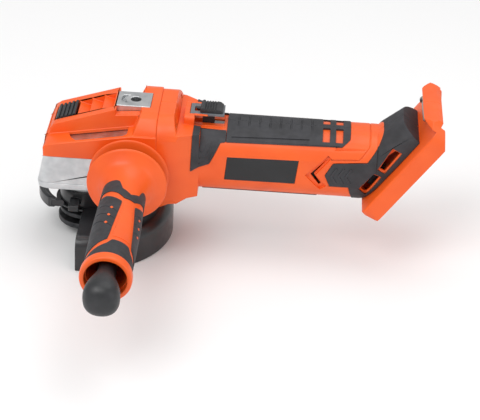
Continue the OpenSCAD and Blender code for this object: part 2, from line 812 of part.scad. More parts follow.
module grip_form(t, x0 = collar_end, x1 = grip_end + 2) {
    round_bar(x0, x1, grip_w - 2 * t, grip_low + t, grip_top - t, corner_r - t);
}

cap_foot = mount_point(cap_x + 1.5, cap_t);
neck_rise = atan2(cap_foot[1] - grip_top, cap_foot[0] - neck_x);

module neck_form(t) {
    low = mount_point(1, mount_t + 1);
    high = mount_point(cap_x + 1.5, mount_t + 1);
    intersection() {
        side_cut([[grip_end - 8, grip_low + t], [grip_end + 3, grip_low + t],
            [low[0] + t, low[1]], high, [cap_foot[0] - t, cap_foot[1] - t],
            [neck_x, grip_top - t], [grip_end - 8, grip_top - t]], grip_w / 2 - t);
        round_bar(grip_end - 20, mount_x + 60, grip_w - 2 * t, grip_low + t, grip_low + 240,
            corner_r - t);
        union() {
            round_bar(grip_end - 20, neck_x, grip_w - 2 * t, -200, grip_top - t, corner_r - t);
            translate([neck_x, 0, grip_top]) rotate([0, -neck_rise, 0])
                round_bar(-60, 60, grip_w - 2 * t, -240, -t, corner_r - t);
        }
    }
}

// Points of an arc about (x, y)
function arc(x, y, r, a0, a1, n = 8) = [for (i = [0:n]) let (a = a0 + (a1 - a0) * i / n)
    [x + r * cos(a), y + r * sin(a)]];

// Mount with a domed cap at its upper end, in the mount's own frame
module mount_form(t) {
    w = mount_w / 2;
    flank = [[w - t, t], [w - t, mount_t - 1], [w - 3.5, 18.5 - t], [w - 11, 24 - t],
        [w - 22, 28.4 - t], [w - 34, cap_t - t]];
    mount_frame() intersection() {
        side_cut([[t, t], [mount_l - t, t], [mount_l + 14 - t, 11.5], [mount_l + 13.5 - t, 17],
            [mount_l + 10 - t, 22.5], [mount_l + 4 - t, 27 - t], [mount_l - 4, cap_t - 0.7 - t],
            [cap_x, cap_t - t], [cap_x - 2, mount_t + 3.5 - t],
            [t, mount_t + 3.5 - t], [-3 + t, 10]], 100);
        long_cut(concat([for (p = flank) [-p[0], p[1]]], [for (i = [5:-1:0]) flank[i]]), -10, 120);
        translate([0, 0, -5]) linear_extrude(60) polygon(concat(
            arc(4, w - 8, 8 - t, 90, 180), arc(4, 8 - w, 8 - t, 180, 270),
            arc(mount_l - 3, 19 - w, 19 - t, 270, 360), arc(mount_l - 3, w - 19, 19 - t, 0, 90)));
    }
}

// T-shaped channel that the battery slides down, open at its upper end
module battery_channel() {
    mount_frame() {
        translate([channel_start, -rail_half, -2]) cube([120, 2 * rail_half, 10]);
        translate([channel_start, -groove_half, rail_lip]) cube([120, 2 * groove_half, groove_t - rail_lip]);
        // latch notch in the lower end wall
        translate([-10, -8, -2]) cube([30, 16, 5]);
    }
}

pedestal_half = 13.5;

module switch_pedestal() {
    intersection() {
        round_bar(collar_end + 5, collar_end + 37, 2 * pedestal_half, grip_top - 30, az + 36, 4);
        side_cut([[collar_end + 5, grip_top - 30], [collar_end + 5, az + 36],
            [collar_end + 34, az + 35.2], [collar_end + 37, grip_top - 1],
            [collar_end + 37, grip_top - 30]], 50);
    }
}

switch_x0 = collar_end + 16.5;
switch_x1 = switch_x0 + 17.5;
slot_half = 8.5;
rod_z = grip_top - 4.1;

module housing_inside() {
    inset = wall + rubber_t;
    along_x(seam_x - 1) cylinder(r = bay_r, h = can_end + 4 - seam_x);
    along_x(seam_x - 1) cylinder(r = 27.5, h = can_x + 1 - seam_x);
    round_bar(can_end - 6, grip_end - 5, grip_w - 2 * inset, grip_low + inset, grip_top - inset, 14);
    intersection() {
        neck_form(inset);
        mount_frame() translate([4, -50, mount_t + 2.5]) cube([100, 100, 100]);
    }
    // switch slot through the top and the rod's tunnel behind it
    translate([collar_end + 9, -slot_half, az + 26]) cube([26.5, 2 * slot_half, 40]);
    translate([collar_end + 9, -3.5, rod_z - 0.9]) cube([can_end + 12 - collar_end, 7, 3.3]);
    translate([collar_end + 9, -3.5, rod_z - 0.9]) cube([26.5, 7, 9]);
    // opening into the terminal block's recess
    mount_frame() translate([channel_start + 3, -17, 5]) cube([16, 34, 20]);
}

// Side cooling slots and the lower pair in the mount's flank
module vents() {
    both_sides() {
        side_vent([[193, 79.5], [216, 80.5], [214.5, 77.5], [192, 76.5]]);
        side_vent([[184, 67], [185.5, 68.5], [177, 57], [183, 49], [181.5, 47.5], [174.5, 56.5]]);
        side_vent([[235, 81], [241, 79.5], [230.5, 63.5], [226.5, 65.5]]);
        side_vent([[222.5, 60], [227, 58.5], [217.5, 43], [213.5, 47.5]]);
    }
}

// Cut through one flank from an outline stated for the default grip, moved with its end
module side_vent(outline) {
    depth = wall + rubber_t + 2;
    translate([grip_end - 206, grip_w / 2 - depth, az - 57.5]) rotate([90, 0, 0])
        translate([0, 0, -depth - 8]) linear_extrude(depth + 8) polygon(outline);
}

// Chevron recess, and the thin groove ahead of the neck's rubber
module flank_grooves() {
    difference() {
        side_cut(shift([[187, 73], [189.5, 71], [178.5, 57], [187, 47.5], [182.5, 43.5],
            [170.5, 56]], tail_dx, z_off), 60);
        grip_form(2.2, collar_end + 10);
    }
    difference() {
        side_cut(shift([[218.6, 95], [217.8, 80], [210.6, 71.4], [190, 70.4], [190, 69.8],
            [211, 70.8], [218.4, 79.6], [219.2, 95]], tail_dx, z_off), 60);
        union() {
            grip_form(0.5, collar_end + 10);
            neck_form(0.5);
        }
    }
}

// Regions, seen from the side, where rubber or a plate is let into the housing
function shift(points, dx, dz = 0) = [for (p = points) [p[0] + dx, p[1] + dz]];
tail_dx = grip_end - 206;
head_dx = collar_end - 71;
z_off = az - 57.5;
patch_outline = shift([[84, 93], [109.01, 93], [109.01, 77.5], [104.8, 77], [97, 60.5], [83, 54.5]],
    head_dx, z_off);
label_outline = shift([[110.5, 67], [165, 68], [163, 48], [109, 47.5]], head_dx, z_off);
grip_patch = [[collar_end + 38, az + 60], [collar_end + 38, az + 20], [grip_end - 9, az + 21.5],
    [grip_end - 3, az + 25.5], [grip_end + 1, az + 60]];
arrow_patch = concat(shift([[204, 48], [189.5, 48], [185.5, 57], [191, 67.5], [217, 69.5],
    [225, 81], [228.5, 89], [231, 125]], tail_dx, z_off),
    [mount_point(86, mount_t + 0.8), mount_point(-12, mount_t + 0.8)]);
belly_patch = [[collar_end + 19, grip_low - 5], [collar_end + 21, grip_low + 2.6],
    [grip_end - 26, grip_low + 2.6], [grip_end - 22, grip_low - 5]];

module skin_cut() {
    difference() {
        union() {
            side_cut(grip_patch, 60);
            side_cut(belly_patch, 60);
            side_cut(arrow_patch, 60);
        }
        union() {
            grip_form(rubber_t, collar_end + 10, grip_end + 2);
            neck_form(rubber_t);
        }
    }
    difference() {
        side_cut(patch_outline, 60);
        collar_core();
    }
    both_sides() difference() {
        side_cut(label_outline, 60);
        translate([0, -150, 0]) cube([400, 150 + grip_w / 2 - 1, 200]);
    }
}

module collar_core() {
    collar_form(rubber_t);
    grip_form(rubber_t, collar_end + 10);
}

module housing() {
    difference() {
        union() {
            collar_form(0);
            grip_form(0);
            neck_form(0);
            mount_form(0);
            switch_pedestal();
        }
        skin_cut();
        flank_grooves();
        housing_inside();
        battery_channel();
        vents();
        head_screw_pilots();
        for (p = housing_screw_points) translate([p[0], 0, p[1]]) rotate([90, 0, 0])
            translate([0, 0, -40]) cylinder(r = 1.6, h = 60);
        for (p = housing_screw_points) translate([p[0], grip_w / 2 - 5, p[1]]) rotate([-90, 0, 0])
            cylinder(r = 3.4, h = 40);
    }
}

module head_screw_pilots() {
    for (s = [-1, 1]) for (z = [head_screw_low, head_screw_top])
        translate([seam_x - 1, s * head_screw_y, z]) rotate([0, 90, 0]) cylinder(r = 1.95, h = 15.5);
}

housing_screw_points = [[can_end + 8, grip_low + 11.5], [grip_end - 12, grip_low + 11.5],
    [grip_end - 8, az + 14.5], mount_point(79, 18.5)];

module housing_left() { color(orange) half(-1) housing(); }

module housing_right() { color(orange) half(1) housing(); }

module housing_screws() {
    color("#5b5d61") for (p = housing_screw_points)
        translate([p[0], grip_w / 2 - 5, p[1]]) rotate([90, 0, 0]) difference() {
            union() {
                translate([0, 0, -2]) cylinder(r = 3, h = 2);
                cylinder(r = 1.5, h = 32);
            }
            for (a = [0, 90]) rotate([0, 0, a]) translate([-1.9, -0.4, -3]) cube([3.8, 0.8, 2]);
        }
}

// ---------- rubber overmoulds and plates ----------

module grip_skin(outline) {
    intersection() {
        difference() {
            union() {
                grip_form(-rubber_proud, collar_end + 10, grip_end + 2);
                neck_form(-rubber_proud);
            }
            union() {
                grip_form(rubber_t, collar_end + 9, grip_end + 2);
                neck_form(rubber_t);
            }
        }
        side_cut(outline, 60);
    }
}

module grip_rubber() {
    color(black) difference() {
        intersection() {
            difference() {
                grip_form(-rubber_proud, collar_end + 38, grip_end + 1);
                grip_form(rubber_t, collar_end + 30, grip_end + 2);
            }
            side_cut(grip_patch, 60);
        }
        // ribs of the palm panel, and two slots where the housing shows through
        for (i = [0:7]) translate([collar_end + 46 + i * 8, -26, grip_top + rubber_proud - 0.5])
            cube([1.2, 52, 3]);
        for (x = [grip_end - 24, grip_end - 14]) both_sides()
            translate([x, 3, grip_top - 12]) cube([5.5, 15, 30]);
        translate([collar_end + 30, -0.4, grip_top]) cube([grip_len, 0.8, 3]);
        // thin groove round the palm panel
        difference() {
            side_cut([[collar_end + 42, az + 22.8], [grip_end - 34, az + 23.9],
                [grip_end - 34, az + 24.6], [collar_end + 42, az + 23.5]], 60);
            grip_form(-rubber_proud + 0.6, collar_end + 30);
        }
        vents();
    }
}

module belly_rubber() {
    color(black) intersection() {
        difference() {
            grip_form(-rubber_proud, collar_end + 18.2, grip_end - 20);
            grip_form(rubber_t, collar_end + 9, grip_end);
        }
        side_cut(belly_patch, 60);
        translate([collar_end + 18.2, -100, 0]) cube([400, 200, grip_low + 20]);
    }
}

module side_rubber(side) {
    color(black) half(side) difference() {
        intersection() {
            difference() {
                union() {
                    collar_form(-rubber_proud);
                    grip_form(-rubber_proud, collar_end + 17);
                }
                collar_core();
            }
            side_cut(patch_outline, 60);
        }
        // clear of the switch's pedestal and of the grip's own rubber
        translate([0, -pedestal_half - part_gap, 0]) cube([300, 2 * (pedestal_half + part_gap), 300]);
        translate([collar_end + 37.7, -50, 0]) cube([50, 100, 200]);
    }
}

module side_rubber_left() { side_rubber(-1); }

module side_rubber_right() { side_rubber(1); }

module neck_rubber(side) {
    color(black) half(side) difference() {
        grip_skin(arrow_patch);
        vents();
        // wider than the vents, so that the housing frames them
        both_sides() {
            side_vent([[235, 82.4], [242.6, 80], [230.8, 61.8], [224.8, 64.8]]);
            side_vent([[222.8, 61.4], [228.7, 59], [217.8, 41.2], [211.8, 47]]);
        }
        mount_frame() translate([-20, -60, -2]) cube([140, 120, mount_t + 3]);
    }
}

module neck_rubber_left() { neck_rubber(-1); }

module neck_rubber_right() { neck_rubber(1); }

module label(side) {
    color("#1c1d20") half(side) intersection() {
        side_cut(label_outline, grip_w / 2 - 0.2);
        difference() {
            translate([0, -100, 0]) cube([400, 200, 200]);
            translate([0, -grip_w / 2 + 0.95, 0]) cube([400, grip_w - 1.9, 200]);
        }
    }
}

module label_left() { label(-1); }

module label_right() { label(1); }

// ---------- switch ----------

slider_top = az + 39.4;

module switch_slider() {
    floor_z = az + 36.4;
    color("#2a2b2f") difference() {
        union() {
            side_cut([[switch_x0, floor_z], [switch_x0 + 0.6, slider_top - 0.2],
                [switch_x0 + 2, slider_top + 0.8], [switch_x0 + 4.5, slider_top + 0.2],
                [switch_x1 - 5, slider_top + 0.2], [switch_x1 - 2, slider_top - 0.4],
                [switch_x1, slider_top - 2], [switch_x1, floor_z]], slot_half - 1.2);
            translate([switch_x0 + 2, -3, rod_z]) cube([9, 6, slider_top - rod_z - 2]);
        }
        for (i = [0:4]) translate([switch_x0 + 3.6 + 2 * i, -20, slider_top - 0.5]) cube([0.9, 40, 5]);
    }
}

module switch_bezel() {
    color(black) difference() {
        translate([collar_end + 9.3, -slot_half + 0.15, az + 34.1])
            cube([25.9, 2 * slot_half - 0.3, 1.9]);
        translate([switch_x0 + 1.7 - switch_travel, -4, az + 30]) cube([11.8 + switch_travel, 8, 12]);
    }
}

module switch_rod() {
    color("#8a8c90") difference() {
        union() {
            translate([switch_x0 + 6, -2.5, rod_z]) cube([can_end + 16.5 - switch_x0 - 6, 5, 1.8]);
            translate([can_end + 13.5, -2.5, az + 18.5]) cube([3, 5, rod_z + 1 - az - 18.5]);
        }
        translate([switch_x0 + 1, -3.2, rod_z - 1]) cube([10.2, 6.4, 12]);
    }
}

module switch_module() {
    x = can_end + 13;
    color(black) difference() {
        translate([x, -8, az - 4]) cube([26, 16, 26]);
        translate([x - 1, -10, az + 17]) cube([6, 20, 10]);
    }
}

module control_board() {
    x = can_end + 14;
    color("#1f5a3a") translate([x, -15, az - 14]) cube([34, 30, 1.6]);
    color("#1f5a3a") for (i = [0:2]) translate([x + 4 + 10 * i, -9, az - 12.4 - eps]) cube([6, 18, 5]);
}

// ---------- battery terminals ----------

blade_y = [-18, -5, 15];

module terminal_block() {
    color(black) mount_frame() difference() {
        union() {
            translate([channel_start + 3.3, -16.7, 6]) cube([15.4, 33.4, 14]);
            translate([channel_start + 1, -21, 3.6]) cube([20, 42, 8.6]);
        }
        for (y = blade_y) translate([channel_start + 6, y - 1.6, 2]) cube([30, 3.2, 7]);
        blade_shapes();
        translate([channel_start + 15, -13.5, 2]) cube([30, 4, 7]);
        translate([channel_start + 15, 0, 2]) cube([30, 9, 7]);
    }
}

module blade_shapes() {
    for (y = blade_y) translate([channel_start + 4.4, y - 0.4, 4.2]) cube([16, 0.8, 5.2]);
}

module terminal_blades() { color("#c9cbce") mount_frame() blade_shapes(); }

// ---------- side handle ----------

module handle_stud() {
    color(metal) handle_frame() {
        translate([0, 0, -14]) cylinder(r = stud_r, h = 15);
        translate([0, 0, 0.2]) cylinder(r = stud_r + 1.5, h = base_start - 0.2);
        translate([0, 0, base_start]) cylinder(r = stud_r, h = 24);
        translate([0, 0, base_start + 1]) cylinder(r = 7.5, h = 4, $fn = 6);
    }
}

module handle_base() {
    r = handle_flange_d / 2;
    color(orange) handle_frame() difference() {
        rotate_extrude() polygon([[0, base_start], [10.5, base_start], [11, base_start + 0.6],
            [11, base_start + 3], [14.5, base_start + 4], [r - 3.5, flange_one - 0.6], [r - 1, flange_one],
            [r, flange_one + 0.8], [r, flange_one + 1.8], [r - 2, flange_one + 2.4],
            [13.6, damper_start], [0, damper_start]]);
        cylinder(r = stud_r, h = 40);
        translate([0, 0, base_start + 1]) cylinder(r = 7.5, h = 4, $fn = 6);
    }
}

module handle_damper() {
    core = 13.6;
    rim = handle_flange_d / 2 - 6;
    z = damper_start;
    color(black) handle_frame() difference() {
        rotate_extrude() polygon([[0, z], [core, z], [rim - 0.6, z + 0.5], [rim, z + 1.1],
            [rim - 0.6, z + 1.7], [core, z + 2.2], [core, z + 3.8], [rim - 0.6, z + 4.3],
            [rim, z + 4.9], [rim - 0.6, z + 5.5], [core, z + 6], [0, z + 6]]);
        cylinder(r = stud_r, h = 60);
    }
}

damper_end = damper_start + 6;

module handle_grip() {
    r = handle_flange_d / 2;
    core = handle_d / 2;
    color(orange) handle_frame() difference() {
        rotate_extrude() polygon([[0, damper_end], [14, damper_end], [r - 3, flange_two + 0.2],
            [r - 0.6, flange_two + 0.6], [r, flange_two + 1.4], [r - 1, flange_two + 2.6],
            [r - 7, flange_two + 5], [r - 11, flange_two + 9], [core + 0.9, flange_two + 15],
            [core, grip_start], [core, grip_start + 1], [core - 1, grip_start + 1],
            [core - 1, grip_stop], [0, grip_stop]]);
        translate([0, 0, -1]) cylinder(r = stud_r, h = base_start + 26);
        translate([0, 0, grip_stop - 72]) cylinder(r = key_bore_r, h = 100);
    }
}

module handle_overmould() {
    core = handle_d / 2;
    top = grip_stop;
    color(black) handle_frame() difference() {
        translate([0, 0, grip_start + 1.2]) ring(core + 0.7, core - 0.95, top - grip_start - 1.4);
        for (s = [0, 180]) rotate([0, 0, s]) {
            // long window on the top and bottom faces
            rotate([90, 0, 90]) translate([0, 0, 4]) linear_extrude(30) polygon([
                [-7, grip_start + 14], [7, grip_start + 10], [9, top - 48], [-5, top - 34]]);
            rotate([90, 0, 90]) translate([0, 0, 4]) linear_extrude(30) polygon([
                [-8, top - 26], [9, top - 40], [9, top - 14], [-8, top - 10]]);
        }
    }
}

module handle_end_ring() {
    color(orange) handle_frame() translate([0, 0, grip_stop]) difference() {
        union() {
            cylinder(r1 = handle_d / 2 + 0.9, r2 = handle_d / 2 + 1.7, h = 1);
            translate([0, 0, 1]) cylinder(r = handle_d / 2 + 1.7, h = ring_l - 2);
            translate([0, 0, ring_l - 1]) cylinder(r1 = handle_d / 2 + 1.7, r2 = handle_d / 2 + 0.9, h = 1);
        }
        translate([0, 0, -1]) cylinder(r = key_bore_r + 0.6, h = 20);
    }
}

module disc_key() {
    start = grip_stop + ring_l;
    color(black) handle_frame() intersection() {
        union() {
            translate([0, 0, start]) rotate([90, 0, 0]) translate([0, 0, -20])
                linear_extrude(40) union() {
                    polygon([[-6.5, -66], [6.5, -66], [6.5, 0], [13, 14], [13, 20], [-13, 20], [-13, 14],
                        [-6.5, 0]]);
                    translate([0, key_reach - 13]) circle(r = 13);
                }
        }
        union() {
            translate([-30, -9.5, start - 66]) cube([60, 19, 70]);
            translate([-30, -12.6, start - 4]) cube([60, 25.2, 6]);
            translate([-30, 0, start]) rotate([90, 0, 90]) linear_extrude(60) union() {
                translate([-12.6, -2]) square([25.2, 6]);
                translate([-14, 2]) square([28, key_reach - 16]);
                translate([0, key_reach - 14]) circle(r = 14);
            }
        }
    }
}

// ---------- output ----------

gear_case();
bearing_cover();
bearing_cover_screws();
head_cover();
head_screws();
spindle();
inner_flange();
clamp_nut();
crown_gear();
spindle_lower_bearing();
spindle_upper_bearing();
dust_ring();
lock_button();
lock_pin();
lock_spring();
guard();
guard_band();
clamp_lever();
lever_pin();
band_bolt();
rotor_shaft();
pinion();
armature();
commutator();
fan();
rotor_front_bearing();
rotor_rear_bearing();
motor_can();
motor_magnets();
motor_end_cap();
brushes();
brush_holders();
housing_left();
housing_right();
housing_screws();
grip_rubber();
side_rubber_left();
side_rubber_right();
neck_rubber_left();
neck_rubber_right();
belly_rubber();
label_left();
label_right();
switch_slider();
switch_bezel();
switch_rod();
switch_module();
control_board();
terminal_block();
terminal_blades();
handle_stud();
handle_base();
handle_damper();
handle_grip();
handle_overmould();
handle_end_ring();
disc_key();
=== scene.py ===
import json
from math import cos, hypot, pi, radians, sin

import bmesh
import bpy
from bpy.props import FloatProperty, FloatVectorProperty, IntProperty, PointerProperty
from mathutils import Matrix, Vector


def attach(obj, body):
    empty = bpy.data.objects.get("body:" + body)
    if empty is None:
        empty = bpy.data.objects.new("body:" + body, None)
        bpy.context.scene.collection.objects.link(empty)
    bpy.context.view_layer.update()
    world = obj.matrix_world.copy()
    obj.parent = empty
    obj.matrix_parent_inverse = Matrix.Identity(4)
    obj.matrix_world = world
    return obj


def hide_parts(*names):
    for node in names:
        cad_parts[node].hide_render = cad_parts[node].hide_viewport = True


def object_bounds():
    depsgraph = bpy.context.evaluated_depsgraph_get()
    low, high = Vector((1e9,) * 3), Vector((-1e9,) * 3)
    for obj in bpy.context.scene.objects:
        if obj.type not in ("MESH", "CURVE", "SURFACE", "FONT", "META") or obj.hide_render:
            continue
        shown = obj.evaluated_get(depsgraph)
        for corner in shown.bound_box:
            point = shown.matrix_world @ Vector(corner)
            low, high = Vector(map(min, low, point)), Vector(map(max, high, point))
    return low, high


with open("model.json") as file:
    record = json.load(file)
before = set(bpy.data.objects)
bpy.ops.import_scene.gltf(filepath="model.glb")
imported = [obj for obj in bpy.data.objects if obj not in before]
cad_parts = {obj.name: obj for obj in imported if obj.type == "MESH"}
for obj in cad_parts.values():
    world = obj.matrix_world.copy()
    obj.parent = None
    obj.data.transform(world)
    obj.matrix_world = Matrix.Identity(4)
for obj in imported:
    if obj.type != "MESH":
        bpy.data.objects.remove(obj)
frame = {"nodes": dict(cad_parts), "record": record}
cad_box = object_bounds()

bl_info = {
    "name": "Cordless Angle Grinder",
    "version": (1, 0, 0),
    "blender": (4, 5, 0),
    "location": "3D View > Sidebar > Grinder",
    "description": "Builds the visible pieces and finishes of a cordless angle grinder",
    "category": "Object",
}

MM = 0.001
UP = Vector((0, 0, 1))
CAD_WELD = 0.003 * MM
SPUN_WELD = 0.002 * MM
WRAP_WELD = 0.01 * MM
BODY_OF = {node: body for body, nodes in frame["record"]["behaviour"]["bodies"].items()
           for node in nodes}
SLOT_OF = {row["node"]: row["material_slot"] for row in frame["record"]["subparts"]}


def linear(hex_colour):
    """Turns an sRGB hex colour into linear red, green, blue."""
    parts = [int(hex_colour[i:i + 2], 16) / 255 for i in (1, 3, 5)]
    return tuple(c / 12.92 if c <= 0.04045 else ((c + 0.055) / 1.055) ** 2.4 for c in parts)


# ---------- materials ----------

def add(tree, kind, settings=None, inputs=None):
    """Adds a node, sets its own settings, and sets or links its inputs."""
    item = tree.nodes.new(kind)
    for name, value in (settings or {}).items():
        setattr(item, name, value)
    for key, value in (inputs or {}).items():
        if isinstance(value, bpy.types.NodeSocket):
            tree.links.new(value, item.inputs[key])
        else:
            item.inputs[key].default_value = value
    return item


# What each finish is and how it was made. Sizes of patterns are in millimetres.
# colour and mottle: the two colours that drift into each other over "drift" mm.
# rough: the range that the roughness drifts over. worn: the colour of rubbed edges.
# relief: (pattern, size, depth, stretch along X Y Z) from coarse to fine.
FINISHES = {
    # Moulded ABS from a spark-eroded tool: even colour, satin sheen broken by fine pits.
    # The real pits are 0.15 mm; they are drawn 0.5 mm so that they show.
    "orange_plastic": dict(
        name="abs_orange_spark_textured", colour="#f2601a", mottle="#ea5714", drift=30,
        rough=(0.36, 0.47), worn="#ff8a55", relief=[
            ("noise", 60, 0.05, (1, 1, 1)), ("cells", 0.5, 0.018, (1, 1, 1))]),
    # Thermoplastic rubber, moulded soft grip: deep matt grey-black that greys where rubbed.
    "black_rubber": dict(
        name="tpe_black_soft_moulded", colour="#2b2b2e", mottle="#353539", drift=12,
        rough=(0.58, 0.72), worn="#55565a", relief=[
            ("noise", 8, 0.02, (1, 1, 1)), ("cells", 0.6, 0.02, (1, 1, 1))]),
    # Glass-filled nylon, moulded: harder black with a low satin shine and faint flow lines.
    "black_plastic": dict(
        name="nylon_black_glass_filled", colour="#1f2022", mottle="#29292c", drift=9,
        rough=(0.38, 0.52), worn="#4a4b4e", relief=[
            ("noise", 14, 0.03, (1, 1, 3)), ("noise", 0.6, 0.012, (1, 1, 1))]),
    # Polycarbonate plate, moulded smooth: near-black gloss with handling haze.
    "label_gloss": dict(
        name="polycarbonate_black_gloss", colour="#121315", mottle="#1a1b1e", drift=16,
        rough=(0.13, 0.26), worn="#3a3b3f", relief=[
            ("noise", 22, 0.02, (1, 1, 1)), ("noise", 1.2, 0.002, (1, 1, 6))]),
    # Die-cast aluminium, bead blasted: pale satin metal covered with small round dents.
    # Real dents are 0.2 mm; they are drawn 0.6 mm so that they show.
    "case_aluminium": dict(
        name="aluminium_cast_bead_blasted", colour="#d4d5d6", mottle="#bfc1c3", drift=10,
        rough=(0.30, 0.46), worn="#f2f2f2", metal=1.0, relief=[
            ("noise", 12, 0.05, (1, 1, 1)), ("cells", 0.6, 0.035, (1, 1, 1))]),
    # Pressed sheet steel under black powder coat: orange-peel ripple and a satin shine.
    "black_steel": dict(
        name="steel_sheet_black_powder_coated", colour="#18191b", mottle="#222326", drift=15,
        rough=(0.28, 0.40), worn="#4d4e50", coat=0.25, relief=[
            ("noise", 2.2, 0.03, (1, 1, 1)), ("noise", 0.7, 0.01, (1, 1, 1))]),
    # Turned steel, phosphated and oiled: dark grey with fine turning rings round the spindle.
    "phosphated_steel": dict(
        name="steel_turned_phosphated", colour="#4a4b4d", mottle="#38393b", drift=5,
        rough=(0.38, 0.55), worn="#8b8c8e", metal=0.9, relief=[
            ("rings", 0.7, 0.012, (1, 1, 1)), ("noise", 0.5, 0.012, (1, 1, 1))]),
    # Ground steel: bright, with close grinding lines across it.
    "bright_steel": dict(
        name="steel_ground_bright", colour="#c7c8ca", mottle="#b2b3b6", drift=6,
        rough=(0.18, 0.32), worn="#e4e4e6", metal=1.0, relief=[
            ("noise", 0.5, 0.006, (1, 1, 6))]),
    # Hardened gear steel, oiled: mid grey with a blue-brown tint left by tempering.
    "gear_steel": dict(
        name="steel_gear_hardened_oiled", colour="#8d8a86", mottle="#7a7d84", drift=4,
        rough=(0.22, 0.38), worn="#c9c9c9", metal=1.0, coat=0.3, relief=[
            ("noise", 0.6, 0.008, (1, 1, 1))]),
    # Zinc-plated steel fixings: cool grey with pale yellow and blue drifts in the plating.
    "zinc_steel": dict(
        name="steel_zinc_plated", colour="#a9adb4", mottle="#aca78f", drift=3,
        rough=(0.26, 0.42), worn="#d8d8d4", metal=1.0, relief=[
            ("noise", 0.8, 0.01, (1, 1, 1))]),
    # Sintered ferrite: charcoal ceramic with a dry, sandy surface.
    "magnet_ferrite": dict(
        name="ferrite_sintered", colour="#3a3b3f", mottle="#2e2f33", drift=3,
        rough=(0.6, 0.8), worn="#5c5d60", metal=0.3, relief=[
            ("cells", 0.5, 0.02, (1, 1, 1))]),
    # Enamelled copper wire, wound: warm red-brown bands of wire 0.6 mm thick along the motor.
    "copper": dict(
        name="copper_wire_enamelled_wound", colour="#b5652f", mottle="#8c4319", drift=4,
        rough=(0.2, 0.35), worn="#d98c55", metal=0.9, coat=0.5, relief=[
            ("bands", 0.6, 0.15, (1, 1, 1))]),
    # Pressed carbon: dull grey-black with graphite glints.
    "carbon": dict(
        name="carbon_pressed", colour="#2a2a2c", mottle="#3a3a3d", drift=1.5,
        rough=(0.45, 0.7), worn="#5a5a5c", relief=[("noise", 0.4, 0.01, (1, 1, 1))]),
    # Stamped brass sheet: yellow metal with rolling marks along it.
    "brass_sheet": dict(
        name="brass_sheet_stamped", colour="#c8a24e", mottle="#b08a3a", drift=4,
        rough=(0.25, 0.4), worn="#ecd089", metal=1.0, relief=[
            ("noise", 0.5, 0.006, (5, 1, 1))]),
    # Grey acetal, moulded: waxy mid grey.
    "grey_plastic": dict(
        name="acetal_grey_moulded", colour="#6d7074", mottle="#62656a", drift=8,
        rough=(0.38, 0.5), worn="#9a9ca0", relief=[("noise", 0.6, 0.01, (1, 1, 1))]),
    # Fibreglass circuit board under green lacquer: weave showing faintly through the gloss.
    "board_green": dict(
        name="fibreglass_board_green_lacquered", colour="#1d6b3c", mottle="#155430", drift=2,
        rough=(0.2, 0.35), worn="#4f9a68", relief=[("bands", 1.2, 0.03, (1, 1, 1))]),
}


def height_pattern(tree, place, pattern, size, stretch):
    """A height field, 0 to 1, whose features are size mm across."""
    if stretch != (1, 1, 1):
        scale = [1 / s for s in stretch]
        place = add(tree, "ShaderNodeMapping", None, {"Vector": place, "Scale": scale}).outputs[0]
    per_metre = 1 / (size * MM)
    if pattern == "cells":
        return add(tree, "ShaderNodeTexVoronoi", {"feature": "SMOOTH_F1"},
                   {"Vector": place, "Scale": per_metre, "Smoothness": 0.6}).outputs["Distance"]
    if pattern == "noise":
        return add(tree, "ShaderNodeTexNoise", None,
                   {"Vector": place, "Scale": per_metre, "Detail": 2.0}).outputs[0]
    kind, axis = ("RINGS", "Z") if pattern == "rings" else ("BANDS", "X")
    direction = "rings_direction" if kind == "RINGS" else "bands_direction"
    # a wave's stripes are 20 to the unit at scale 3.14, so one stripe of size mm needs this scale
    return add(tree, "ShaderNodeTexWave", {"wave_type": kind, direction: axis},
               {"Vector": place, "Scale": per_metre * pi / 20, "Distortion": 0.4,
                "Detail": 1.0}).outputs["Fac"]


